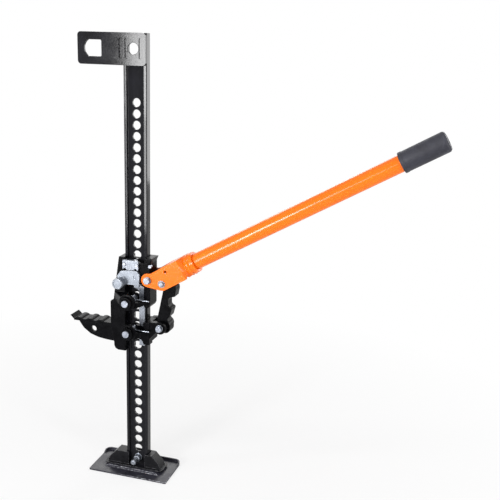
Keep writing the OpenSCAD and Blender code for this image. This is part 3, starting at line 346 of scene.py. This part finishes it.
def mixColour(tree, mask, first, second):
    mix = tree.nodes.new("ShaderNodeMix")
    mix.data_type = "RGBA"
    for index, value in ((6, first), (7, second)):
        if isinstance(value, tuple):
            mix.inputs[index].default_value = (*value, 1)
        else:
            tree.links.new(value, mix.inputs[index])
    tree.links.new(mask, mix.inputs[0])
    return mix.outputs[2]


# painted, cast, plated and moulded finishes: peel, broad, cloud and grain are noise scales, and a
# pair of roughness runs from the first to the second over the uneven patches
finishes = {
    "barPaint": {
        "colour": (0.004, 0.004, 0.0052), "shade": (0.008, 0.008, 0.011), "peel": 620, "broad": 22,
        "roughness": (0.07, 0.12), "bump": 0.06, "specular": 0.2, "webRoughness": 0.85,
        "wornAndGlinting": (0.09, 0.09, 0.11), "wearAndGlintShare": 0.3, "convex": 0,
    },
    "castingPaint": {
        "colour": (0.0015, 0.0015, 0.002), "shade": (0.0036, 0.0036, 0.0046), "peel": 900, "broad": 60,
        "roughness": (0.2, 0.34), "bump": 0.4, "specular": 0.045,
        # the lighter colour on edges and scuffs is worn paint and also painted highlights, the glints of the
        # glossy edges
        "wornAndGlinting": (0.18, 0.18, 0.19), "wearAndGlintShare": 0.4, "convex": 1,
    },
    "basePaint": {
        "colour": (0.018, 0.0178, 0.025), "shade": (0.037, 0.036, 0.049), "peel": 480, "broad": 34,
        "roughness": (0.24, 0.42), "bump": 0.25, "specular": 0.24,
        # the near-white colour on the knocked edges is bare metal and also a painted highlight along the raised
        # middle's front edge
        "wornAndGlinting": (0.72, 0.73, 0.78), "wearAndGlintShare": 0.8, "convex": 0,
        # metres: knocks and painted highlights lie before front, and to the left of right only behind back
        "chipsAndGlints": {"front": -0.0225, "frontBlend": 0.002, "back": -0.0265, "backBlend": 0.001,
                  "right": 0.0, "rightBlend": 0.03},
    },
    "socketPaint": {
        "colour": (0.0045, 0.0045, 0.0055), "shade": (0.011, 0.011, 0.013), "peel": 480, "broad": 40,
        "roughness": (0.22, 0.4), "bump": 0.25, "specular": 0.12,
        "wornAndGlinting": (0.30, 0.30, 0.33), "wearAndGlintShare": 0.35, "convex": 0,
    },
    "orangePaint": {
        "colour": (0.94, 0.178, 0.004), "shade": (0.90, 0.162, 0.004), "peel": 160, "broad": 14,
        "roughness": (0.17, 0.20), "bump": 0.004, "specular": 0.3,
        "wornAndGlinting": (1.0, 0.42, 0.20), "wearAndGlintShare": 0.0, "convex": 0,
    },
}
paintWear = {"cover": 0.62, "scuffShare": 0.25, "scuffDulls": 0.12, "skinDepth": 0.0004}
web = {"depth": (0.0026, 0.004), "facing": (0.6, 0.8)}  # metres from the middle, and share of Y in the normal
platings = {
    "brightZinc": {"colour": (0.29, 0.312, 0.352), "shade": (0.20, 0.217, 0.25), "cloud": 110, "grain": 1700,
                   "roughness": (0.22, 0.34), "bump": 0.06, "metallic": 0.7},
    "castZinc": {"colour": (0.28, 0.305, 0.345), "shade": (0.20, 0.218, 0.25), "cloud": 70, "grain": 1500,
                 "roughness": (0.26, 0.38), "bump": 0.07, "metallic": 0.65},
    "dullZinc": {"colour": (0.36, 0.385, 0.44), "shade": (0.20, 0.215, 0.25), "cloud": 160, "grain": 1300,
                 "roughness": (0.28, 0.44), "bump": 0.18, "metallic": 0.85},
}
platingWear = {"edgeStart": 0.52, "edgeEnd": 0.60, "edgeShare": 0.6, "edgeColour": (0.80, 0.82, 0.86),
               "scuffScale": 120, "cover": 0.6, "scuffDulls": 0.1, "cloudy": (0.05, 0.4), "dull": (0, 0.4),
               "grainDepth": 0.0003}
rubberLook = {"colour": (0.020, 0.021, 0.033), "shade": (0.010, 0.010, 0.017), "grain": 900, "broad": 45,
              "roughness": (0.48, 0.66), "bump": 0.35, "grainDepth": 0.0004,
              "dust": (0.10, 0.105, 0.13), "dustShare": 0.35, "scuffScale": 35, "cover": 0.58}


def newMaterial(name):
    material = bpy.data.materials.new(name)
    material.use_nodes = True
    shader = material.node_tree.nodes["Principled BSDF"]
    return material, material.node_tree, shader


def bumpFrom(tree, height, strength, shader, distance):
    bump = tree.nodes.new("ShaderNodeBump")
    bump.inputs["Strength"].default_value = strength
    bump.inputs["Distance"].default_value = distance
    linkNodes(tree, [(height, bump.inputs["Height"]), (bump.outputs["Normal"], shader.inputs["Normal"])])


def placeAxes(tree, kind):
    place = tree.nodes.new("ShaderNodeTexCoord")
    axes = tree.nodes.new("ShaderNodeSeparateXYZ")
    tree.links.new(place.outputs[kind], axes.inputs[0])
    return axes.outputs


def webFaces(tree):
    # the two faces of the bar's web, without the walls of its holes
    depth, facing = (mathNode(tree, "ABSOLUTE", placeAxes(tree, kind)["Y"], 0)
                     for kind in ("Object", "Normal"))
    shallow = rangeNode(tree, depth, *web["depth"], 1, 0)
    return mathNode(tree, "MULTIPLY", shallow, rangeNode(tree, facing, *web["facing"]))


def chippedAndGlintingEdges(tree, chipsAndGlints):
    # knocks and painted highlights reach the raised middle's upper front edge all along
    # and the edges before it only to the right of the bar
    axes = placeAxes(tree, "Object")
    front = rangeNode(tree, axes["Y"], chipsAndGlints["front"], chipsAndGlints["front"] - chipsAndGlints["frontBlend"])
    inner = rangeNode(tree, axes["Y"], chipsAndGlints["back"] - chipsAndGlints["backBlend"], chipsAndGlints["back"])
    right = rangeNode(tree, axes["X"], chipsAndGlints["right"] - chipsAndGlints["rightBlend"],
                      chipsAndGlints["right"] + chipsAndGlints["rightBlend"])
    return mathNode(tree, "MULTIPLY", front, mathNode(tree, "MAXIMUM", inner, right))


def makePaint(name, look):
    material, tree, shader = newMaterial(name)
    skin = addGroup(tree, groups["skin"], Peel=look["peel"], Broad=look["broad"])
    edge = addGroup(tree, groups["edge"], Convex=look["convex"])
    scuff = addGroup(tree, groups["scuff"], Cover=paintWear["cover"])
    # lighter edge colour: worn paint, and on the castings and the base's front edges also painted highlights
    wornAndGlintingEdges = mathNode(tree, "MULTIPLY", edge["Mask"], look["wearAndGlintShare"])
    if "chipsAndGlints" in look:
        wornAndGlintingEdges = mathNode(tree, "MULTIPLY", wornAndGlintingEdges, chippedAndGlintingEdges(tree, look["chipsAndGlints"]))
    marks = mathNode(tree, "MULTIPLY", scuff["Mask"], look["wearAndGlintShare"] * paintWear["scuffShare"])
    base = mixColour(tree, skin["Mottle"], look["colour"], look["shade"])
    scuffed = mixColour(tree, marks, base, look["wornAndGlinting"])
    tree.links.new(mixColour(tree, wornAndGlintingEdges, scuffed, look["wornAndGlinting"]), shader.inputs["Base Color"])
    sheen = rangeNode(tree, skin["Mottle"], 0, 1, *look["roughness"])
    rough = mathNode(tree, "ADD", sheen, mathNode(tree, "MULTIPLY", scuff["Mask"], paintWear["scuffDulls"]))
    if "webRoughness" in look:
        dull = mathNode(tree, "MULTIPLY", webFaces(tree), look["webRoughness"])
        rough = mathNode(tree, "MAXIMUM", rough, dull)
    tree.links.new(rough, shader.inputs["Roughness"])
    shader.inputs["Specular IOR Level"].default_value = look["specular"]
    bumpFrom(tree, skin["Height"], look["bump"], shader, paintWear["skinDepth"])
    return material


def makePlating(name, look):
    material, tree, shader = newMaterial(name)
    wear = platingWear
    plating = addGroup(tree, groups["plating"], Cloud=look["cloud"], Grain=look["grain"])
    edge = addGroup(tree, groups["edge"], Start=wear["edgeStart"], End=wear["edgeEnd"], Convex=0)
    scuff = addGroup(tree, groups["scuff"], Scale=wear["scuffScale"], Cover=wear["cover"])
    cloudy = rangeNode(tree, plating["Shade"], *wear["cloudy"])
    base = mixColour(tree, cloudy, look["colour"], look["shade"])
    wornAndGlinting = mathNode(tree, "MULTIPLY", edge["Mask"], wear["edgeShare"])
    tree.links.new(mixColour(tree, wornAndGlinting, base, wear["edgeColour"]), shader.inputs["Base Color"])
    dull = rangeNode(tree, plating["Shade"], *wear["dull"], *look["roughness"])
    rough = mathNode(tree, "ADD", dull, mathNode(tree, "MULTIPLY", scuff["Mask"], wear["scuffDulls"]))
    tree.links.new(rough, shader.inputs["Roughness"])
    shader.inputs["Metallic"].default_value = look["metallic"]
    bumpFrom(tree, plating["Height"], look["bump"], shader, wear["grainDepth"])
    return material


def makeRubber(name, look):
    material, tree, shader = newMaterial(name)
    skin = addGroup(tree, groups["skin"], Peel=look["grain"], Broad=look["broad"])
    scuff = addGroup(tree, groups["scuff"], Scale=look["scuffScale"], Cover=look["cover"])
    base = mixColour(tree, skin["Mottle"], look["colour"], look["shade"])
    dusty = mathNode(tree, "MULTIPLY", scuff["Mask"], look["dustShare"])
    tree.links.new(mixColour(tree, dusty, base, look["dust"]), shader.inputs["Base Color"])
    tree.links.new(rangeNode(tree, skin["Mottle"], 0, 1, *look["roughness"]), shader.inputs["Roughness"])
    bumpFrom(tree, skin["Height"], look["bump"], shader, look["grainDepth"])
    return material


groups = {
    "skin": makeSkinGroup(),
    "edge": makeEdgeGroup(),
    "scuff": makeScuffGroup(),
    "plating": makePlatingGroup(),
}
materials = {name: makePaint(name, look) for name, look in finishes.items()}
materials.update({name: makePlating(name, look) for name, look in platings.items()})
materials["gripRubber"] = makeRubber("gripRubber", rubberLook)
print("finishes made:", len(materials))


# modelling helpers
def cadMesh(node):
    # a CAD node's triangles, merged into one closed skin
    bm = bmesh.new()
    bm.from_mesh(frame["nodes"][node].data)
    bmesh.ops.remove_doubles(bm, verts=bm.verts, dist=0.00002)
    bmesh.ops.dissolve_degenerate(bm, edges=bm.edges, dist=0.00001)
    return bm


def flatten(bm):
    # coplanar triangles become whole faces
    bmesh.ops.dissolve_limit(bm, angle_limit=math.radians(1), verts=bm.verts, edges=bm.edges)


def sharpEdges(bm, sharpFrom=35):
    return [edge for edge in bm.edges
            if len(edge.link_faces) == 2 and edge.calc_face_angle(0) > math.radians(sharpFrom)]


def roundEdges(bm, width, segments=2, sharpFrom=35, chosen=None):
    layers = bm.faces.layers.float
    mark = layers.get("bevel") or layers.new("bevel")
    sharp = [edge for edge in sharpEdges(bm, sharpFrom) if chosen is None or chosen(edge)]
    made = bmesh.ops.bevel(bm, geom=sharp, offset=width * mm, offset_type="OFFSET", affect="EDGES",
                           segments=segments, profile=0.5, material=-1, clamp_overlap=True)
    for face in made["faces"]:
        face[mark] = 1


def smoothShade(mesh, angle):
    mesh.polygons.foreach_set("use_smooth", [True] * len(mesh.polygons))
    if angle:
        mesh.set_sharp_from_angle(angle=math.radians(angle))
    mesh.update()


def newPiece(name, bm, finish, nodes, angle=40, weighted=True):
    mesh = bpy.data.meshes.new(name)
    bm.to_mesh(mesh)
    bm.free()
    return meshPiece(name, mesh, finish, nodes, angle, weighted)


def meshPiece(name, mesh, finish, nodes, angle=40, weighted=True):
    smoothShade(mesh, angle)
    mesh.materials.clear()
    mesh.materials.append(materials[finish])
    piece = bpy.data.objects.new(name, mesh)
    scene.collection.objects.link(piece)
    if weighted:
        even = piece.modifiers.new("evenNormals", "WEIGHTED_NORMAL")
        even.keep_sharp = True
    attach(piece, bodyOf[nodes[0]])
    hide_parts(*nodes)
    return piece


def bevelled(node, name, finish, width, segments=2, sharpFrom=35, angle=40):
    bm = cadMesh(node)
    flatten(bm)
    roundEdges(bm, width, segments, sharpFrom)
    return newPiece(name, bm, finish, [node], angle)


def cast(node, name, finish, grain, passes, keep):
    # a sand-cast or forged shape: the CAD skin softened to the radius of a mould
    bm = cadMesh(node)
    mesh = bpy.data.meshes.new(name)
    bm.to_mesh(mesh)
    bm.free()
    blank = bpy.data.objects.new(name, mesh)
    scene.collection.objects.link(blank)
    remesh = blank.modifiers.new("grain", "REMESH")
    remesh.mode = "VOXEL"
    remesh.voxel_size = grain * mm
    soften = blank.modifiers.new("soften", "SMOOTH")
    soften.iterations = passes
    thin = blank.modifiers.new("thin", "DECIMATE")
    thin.ratio = keep
    shaped = bpy.data.meshes.new_from_object(blank.evaluated_get(bpy.context.evaluated_depsgraph_get()))
    bpy.data.objects.remove(blank)
    shaped.name = name
    print("  cast", name, len(shaped.polygons), "faces")
    return meshPiece(name, shaped, finish, [node], angle=0, weighted=False)


onAxis = 0.001  # millimetres, the radius at which a turned profile starts or ends on its axis


def turned(profile, place, steps=64):
    # a profile of (radius, distance along) points in millimetres, spun round the axis
    bm = bmesh.new()
    points = [bm.verts.new((radius * mm, 0, along * mm)) for radius, along in profile]
    edges = [bm.edges.new(pair) for pair in zip(points, points[1:])]
    bmesh.ops.spin(bm, geom=points + edges, cent=(0, 0, 0), axis=(0, 0, 1), angle=2 * math.pi,
                   steps=steps, use_merge=True, use_duplicate=False)
    bmesh.ops.remove_doubles(bm, verts=bm.verts, dist=0.000001)
    bmesh.ops.recalc_face_normals(bm, faces=bm.faces)
    bmesh.ops.transform(bm, matrix=place, verts=bm.verts)
    return bm


def arcPoints(radius, along, size, first, last, steps):
    # points of a rounding in a profile, round (radius, along), from angle first to angle last
    angles = [math.radians(first + (last - first) * step / steps) for step in range(steps + 1)]
    return [(radius + size * math.cos(angle), along + size * math.sin(angle)) for angle in angles]


def cutAcross(bm, depth, keep):
    # cuts a piece at a depth along Y, keeps what is before or behind the cut, and closes it
    cut = bmesh.ops.bisect_plane(bm, geom=bm.verts[:] + bm.edges[:] + bm.faces[:], plane_co=(0, depth, 0),
                                 plane_no=(0, 1, 0), clear_inner=keep == "behind",
                                 clear_outer=keep == "before")
    bmesh.ops.holes_fill(bm, edges=[item for item in cut["geom_cut"] if isinstance(item, bmesh.types.BMEdge)])


def alongY(x, y, z):
    # turns a profile's axis to +Y, from a place in metres
    return Matrix.Translation((x, y, z)) @ Matrix.Rotation(math.radians(-90), 4, "X")


def boxOf(node):
    low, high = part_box(node)
    return low, high, (low + high) / 2


def addInto(bm, extra):
    mesh = bpy.data.meshes.new("part")
    extra.to_mesh(mesh)
    extra.free()
    bm.from_mesh(mesh)
    bpy.data.meshes.remove(mesh)


def tubeAlong(name, points, radii, thickness, resolution=4):
    # a round wire or bead through the points, as a mesh
    curve = bpy.data.curves.new(name, "CURVE")
    curve.dimensions = "3D"
    curve.bevel_depth = thickness * mm
    curve.bevel_resolution = resolution
    curve.use_fill_caps = True
    spline = curve.splines.new("POLY")
    spline.points.add(len(points) - 1)
    for point, place, radius in zip(spline.points, points, radii):
        point.co = (*place, 1)
        point.radius = radius
    holder = bpy.data.objects.new(name, curve)
    scene.collection.objects.link(holder)
    mesh = bpy.data.meshes.new_from_object(holder.evaluated_get(bpy.context.evaluated_depsgraph_get()))
    bpy.data.objects.remove(holder)
    bpy.data.curves.remove(curve)
    mesh.name = name
    return mesh


# base
base = {"edge": 0.7, "socketEdge": 1.2, "clipEdge": 0.2}


def makeBase():
    bevelled("base_plate", "basePlate", "basePaint", base["edge"], segments=3)
    bevelled("base_socket", "baseSocket", "socketPaint", base["socketEdge"], segments=3)
    bevelled("base_pin_clip", "basePinClip", "brightZinc", base["clipEdge"])
    print("base made")


# base pin: turned knob, neck, collar and flange in front of the plain shank with its cross hole
basePin = {
    "edge": 0.5,
    "knob": 7.5, "knobRadius": 5.9, "knobRound": 2.2, "knobSlope": 0.6,
    "neck": 9, "neckRadius": 4.2, "neckSlope": 0.5,
    "collar": 12.5, "collarRadius": 7.4, "collarRound": 4.6,
    "flange": 1.6, "flangeRadius": 8.9, "flangeRound": 0.7,
}


def makeBasePin():
    low, _, centre = boxOf("base_pin")
    knob, neck, collar, flange = (basePin[part] for part in ("knob", "neck", "collar", "flange"))
    knobRadius, neckRadius, collarRadius, flangeRadius = (
        basePin[part + "Radius"] for part in ("knob", "neck", "collar", "flange"))
    knobRound, collarRound, flangeRound = (basePin[part + "Round"] for part in ("knob", "collar", "flange"))
    shoulder = knob + neck
    end = shoulder + collar
    profile = [(onAxis, 0)]
    profile += arcPoints(knobRadius - knobRound, knobRound, knobRound, -90, 0, steps=8)
    profile += arcPoints(knobRadius - knobRound, knob - knobRound, knobRound, 0, 50, steps=5)
    profile += [(neckRadius, knob + basePin["knobSlope"]), (neckRadius, shoulder + basePin["neckSlope"])]
    profile += arcPoints(collarRadius - collarRound, shoulder + collarRound, collarRound, -45, 0, steps=7)
    profile += [(collarRadius, end - flange)]
    profile += arcPoints(flangeRadius - flangeRound, end - flange + flangeRound, flangeRound, -90, 0, steps=4)
    profile += [(flangeRadius, end), (onAxis, end)]
    bm = cadMesh("base_pin")
    flatten(bm)
    roundEdges(bm, basePin["edge"])
    cutAcross(bm, low.y + (end - flange / 2) * mm, "behind")
    addInto(bm, turned(profile, alongY(centre.x, low.y, centre.z)))
    newPiece("basePin", bm, "brightZinc", ["base_pin"])
    print("base pin made")


# bar and top plate
bar = {"holeEdge": 0.7, "plateEdge": 1.1, "grooveEdge": 1.7, "grooveDepth": 2.2, "eyeEdge": 2.0,
       "eyeMargin": 0.3}


def makeBar():
    bevelled("standard_bar", "standardBar", "barPaint", bar["holeEdge"], sharpFrom=50)
    makeTopPlate()
    print("bar made")


def makeTopPlate():
    # the pressed grooves and the round hole get wide soft rims, the rest narrow ones
    bm = cadMesh("top_plate")
    flatten(bm)
    near = 0.1 * mm
    front = min(vert.co.y for vert in bm.verts)
    floor = front + bar["grooveDepth"] * mm
    eye = next(mount for mount in frame["record"]["mounts"] if mount["name"] == "top_eye")
    eyeX, _, eyeZ = eye["pos_m"]
    eyeReach = (eye["dims"]["r_mm"] + bar["eyeMargin"]) * mm

    def isShallow(face):
        deepest = max(vert.co.y for vert in face.verts)
        return front + near < deepest < floor + near

    def onRim(edge):
        return any(map(isShallow, edge.link_faces)) and all(vert.co.y < front + near for vert in edge.verts)

    def onEye(edge):
        return all(math.hypot(vert.co.x - eyeX, vert.co.z - eyeZ) < eyeReach for vert in edge.verts)

    def outside(edge):
        return not any(abs(vert.co.y - floor) < near for vert in edge.verts)

    roundEdges(bm, bar["grooveEdge"], 4, chosen=onRim)
    roundEdges(bm, bar["eyeEdge"], 4, chosen=onEye)
    roundEdges(bm, bar["plateEdge"], 3, chosen=outside)
    newPiece("topPlate", bm, "barPaint", ["top_plate"])


# carriage castings
castings = {
    # node: (piece, grain in millimetres, smoothing passes, share of faces kept)
    "large_runner": ("largeRunner", 0.8, 4, 0.35),
    "small_runner": ("smallRunner", 0.5, 3, 0.35),
    "pitman_link": ("pitmanLink", 0.6, 5, 0.35),
}


def makeCastings():
    for node, (name, grain, passes, keep) in castings.items():
        cast(node, name, "castingPaint", grain, passes, keep)
    print("castings made")


# latch, its rod and bracket
latch = {"armEdge": 1.1, "bracketEdge": 0.8, "rodEdge": 0.5, "screwEdge": 0.4, "slotEdge": 0.2}


def makeLatch():
    bevelled("reversing_latch", "reversingLatch", "castZinc", latch["armEdge"], segments=4, sharpFrom=30)
    bevelled("latch_bracket", "latchBracket", "brightZinc", latch["bracketEdge"], segments=3)
    bevelled("latch_rod", "latchRod", "brightZinc", latch["rodEdge"])
    for node, name in (("bracket_screws", "bracketScrews"), ("rod_rivet", "rodRivet"),
                       ("latch_pivot_pin", "latchPivotPin")):
        bevelled(node, name, "dullZinc", latch["screwEdge"])
    bevelled("runner_screw", "runnerScrew", "dullZinc", latch["slotEdge"])
    print("latch made")


# climbing pins, cross pins, washers and springs
pins = {"edge": 0.5, "crossEdge": 0.45, "washerEdge": 0.25, "wire": 0.8, "curls": 4, "pointsPerCurl": 36}


def makePins():
    for side in ("upper", "lower"):
        bevelled(side + "_climbing_pin", side + "ClimbingPin", "dullZinc", pins["edge"],
                 segments=3, sharpFrom=25)
        bevelled(side + "_cross_pin", side + "CrossPin", "brightZinc", pins["crossEdge"], segments=3)
        bevelled(side + "_spring_washer", side + "SpringWasher", "brightZinc", pins["washerEdge"])
        makeSpring(side)
    print("pins made")


def makeSpring(side):
    # a wound wire that is squeezed between its holder and the pin
    node = side + "_pin_spring"
    low, high, centre = boxOf(node)
    wire = pins["wire"] * mm
    coilRadius = (high.x - low.x) / 2 - wire
    first = low.y + wire
    length = high.y - wire - first
    count = pins["curls"] * pins["pointsPerCurl"]
    points = []
    for step in range(count + 1):
        turn = 2 * math.pi * pins["curls"] * step / count
        points.append((centre.x + coilRadius * math.cos(turn), first + length * step / count,
                       centre.z + coilRadius * math.sin(turn)))
    mesh = tubeAlong(side + "PinSpring", points, [1] * len(points), pins["wire"])
    smoothShade(mesh, 40)
    mesh.materials.append(materials["brightZinc"])
    piece = bpy.data.objects.new(side + "PinSpring", mesh)
    scene.collection.objects.link(piece)
    holder = "carriage" if side == "upper" else "small_runner_body"
    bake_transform(piece, holder, side + "_pin",
             start=(centre.x, low.y, centre.z), end=(centre.x, high.y, centre.z))
    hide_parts(node)


# handle: pressed socket, tube and rubber grip, with distances along it from the pivot
handle = {
    "angle": 30.1, "axisDrop": 9.7, "steps": 96, "socketEdge": 1.0,
    "tubeRadius": 16, "tubeWall": 2.5, "tubeFrom": 80, "tubeTo": 632, "tubeEdge": 0.5,
    "gripRadius": 19.5, "gripBore": 16.1, "gripFrom": 549, "gripTo": 638, "gripFloor": 632.3,
    "lipRadius": 20.1, "lipLength": 6.5, "endRound": 6, "dimple": 5, "dimpleDepth": 1.4,
}


def handleAxis():
    pivot = Matrix.Translation(jointPlace["handle_swing"])
    lean = Matrix.Rotation(math.radians(-handle["angle"]), 4, "Y")
    drop = Matrix.Translation((0, 0, -handle["axisDrop"] * mm))
    return pivot @ lean @ drop @ Matrix.Rotation(math.radians(90), 4, "Y")


def makeHandle():
    bevelled("handle_socket", "handleSocket", "orangePaint", handle["socketEdge"], segments=3, sharpFrom=30)
    outer, inner = handle["tubeRadius"], handle["tubeRadius"] - handle["tubeWall"]
    first, last = handle["tubeFrom"], handle["tubeTo"]
    profile = [(inner, first), (outer, first), (outer, last), (inner, last), (inner, first)]
    bm = turned(profile, handleAxis(), handle["steps"])
    roundEdges(bm, handle["tubeEdge"])
    newPiece("handleTube", bm, "orangePaint", ["handle_tube"])
    makeGrip()
    print("handle made")


def makeGrip():
    # a sleeve with a thicker lip at its open end and a dimple in its closed end
    start, end = handle["gripFrom"], handle["gripTo"]
    bore, floor = handle["gripBore"], handle["gripFloor"]
    body, lip = handle["gripRadius"], handle["lipRadius"]
    step = lip - body
    lipEnd = start + handle["lipLength"]
    endRound = handle["endRound"]
    hollow, depth = handle["dimple"], handle["dimpleDepth"]
    profile = [(onAxis, floor), (bore, floor), (bore, start)]
    profile += arcPoints(lip - step, start + step, step, -90, 0, steps=5)
    profile += arcPoints(lip - step, lipEnd - step, step, 0, 70, steps=4)
    profile += [(body, lipEnd + step), (body, (lipEnd + end) / 2)]
    profile += arcPoints(body - endRound, end - endRound, endRound, 0, 90, steps=8)
    profile += [(hollow + depth, end)]
    profile += arcPoints(hollow, end, depth, 0, -90, steps=4)
    profile += [(onAxis, end - depth)]
    newPiece("handleGrip", turned(profile, handleAxis(), handle["steps"]), "gripRubber", ["handle_grip"])


# bolts, nuts and washers
fastenings = {
    # node's first part: (piece's first part, rounding of the edges)
    "handle_pivot": ("handlePivot", 0.35),
    "link": ("link", 0.3),
    "runner": ("runner", 0.3),
}
# crest: shares of the pitch between which a thread has its full radius
thread = {"pitch": 1.5, "depth": 0.55, "crest": (0.42, 0.58), "steps": 48}


def makeFastenings():
    for node, (name, edge) in fastenings.items():
        makeBolt(node, name + "Bolt", edge)
        bevelled(node + "_nut", name + "Nut", "dullZinc", edge)
        bevelled(node + "_washers", name + "Washers", "brightZinc", edge / 2)
    print("fastenings made")


def makeBolt(node, name, edge):
    # the plain shank ends inside the nut, and a threaded end carries on from there
    boltEnd, nutEnd = (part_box(node + part)[1].y for part in ("_bolt", "_nut"))
    cutAt = nutEnd - thread["pitch"] * mm
    bm = cadMesh(node + "_bolt")
    flatten(bm)
    tail = [vert.co for vert in bm.verts if vert.co.y > cutAt]
    axis = sum(tail, Vector()) / len(tail)
    radius = max(math.hypot(place.x - axis.x, place.z - axis.z) for place in tail) / mm
    roundEdges(bm, edge)
    cutAcross(bm, cutAt, "before")
    length = (boltEnd - cutAt) / mm
    count = int(length / thread["pitch"])
    pitch = length / count
    root = radius - thread["depth"]
    rise, fall = thread["crest"]
    profile = [(onAxis, 0), (root, 0)]
    for turn in range(count):
        top = radius if turn < count - 1 else radius - thread["depth"] / 2
        profile += [(top, (turn + rise) * pitch), (top, (turn + fall) * pitch), (root, (turn + 1) * pitch)]
    profile += [(onAxis, count * pitch)]
    addInto(bm, turned(profile, alongY(axis.x, cutAt, axis.z), thread["steps"]))
    newPiece(name, bm, "dullZinc", [node + "_bolt"], angle=35)


# weld beads, laid in overlapping ripples that taper at both ends
welds = {"ripple": 2.4, "step": 0.4, "swell": 0.16, "taperSteps": 4, "taperFrom": 0.15}


def makeWelds():
    # each connected part of the CAD's welds gives the box of one bead
    skin = cadMesh("top_plate_welds")
    left = set(skin.verts)
    beads = bmesh.new()
    while left:
        island, reached = set(), [next(iter(left))]
        while reached:
            vert = reached.pop()
            if vert not in island:
                island.add(vert)
                reached += [edge.other_vert(vert) for edge in vert.link_edges]
        left -= island
        low, high = (Vector([pick(vert.co[axis] for vert in island) for axis in range(3)])
                     for pick in (min, max))
        addBead(beads, low, high)
    skin.free()
    newPiece("topPlateWelds", beads, "barPaint", ["top_plate_welds"], angle=60, weighted=False)


def addBead(bm, low, high):
    size = high - low
    run = max(range(3), key=lambda axis: size[axis])
    thickness = min(size[axis] for axis in range(3) if axis != run) / 2 / mm
    centre = (low + high) / 2
    inset = thickness * mm
    count = int((size[run] / mm - 2 * thickness) / welds["step"])
    points, radii = [], []
    for index in range(count + 1):
        place = centre.copy()
        place[run] = low[run] + inset + (size[run] - 2 * inset) * index / count
        phase = math.pi * (place[run] - low[run]) / (welds["ripple"] * mm)
        nearest = min(index, count - index) / welds["taperSteps"]
        taper = math.sqrt(max(welds["taperFrom"], min(1, nearest)))
        points.append(place)
        radii.append((1 - welds["swell"] + welds["swell"] * abs(math.sin(phase))) * taper)
    mesh = tubeAlong("bead", points, radii, thickness)
    bm.from_mesh(mesh)
    bpy.data.meshes.remove(mesh)


makeCamera()
makeStudio()
makeBase()
makeBasePin()
makeBar()
makeWelds()
makeCastings()
makeLatch()
makePins()
makeHandle()
makeFastenings()
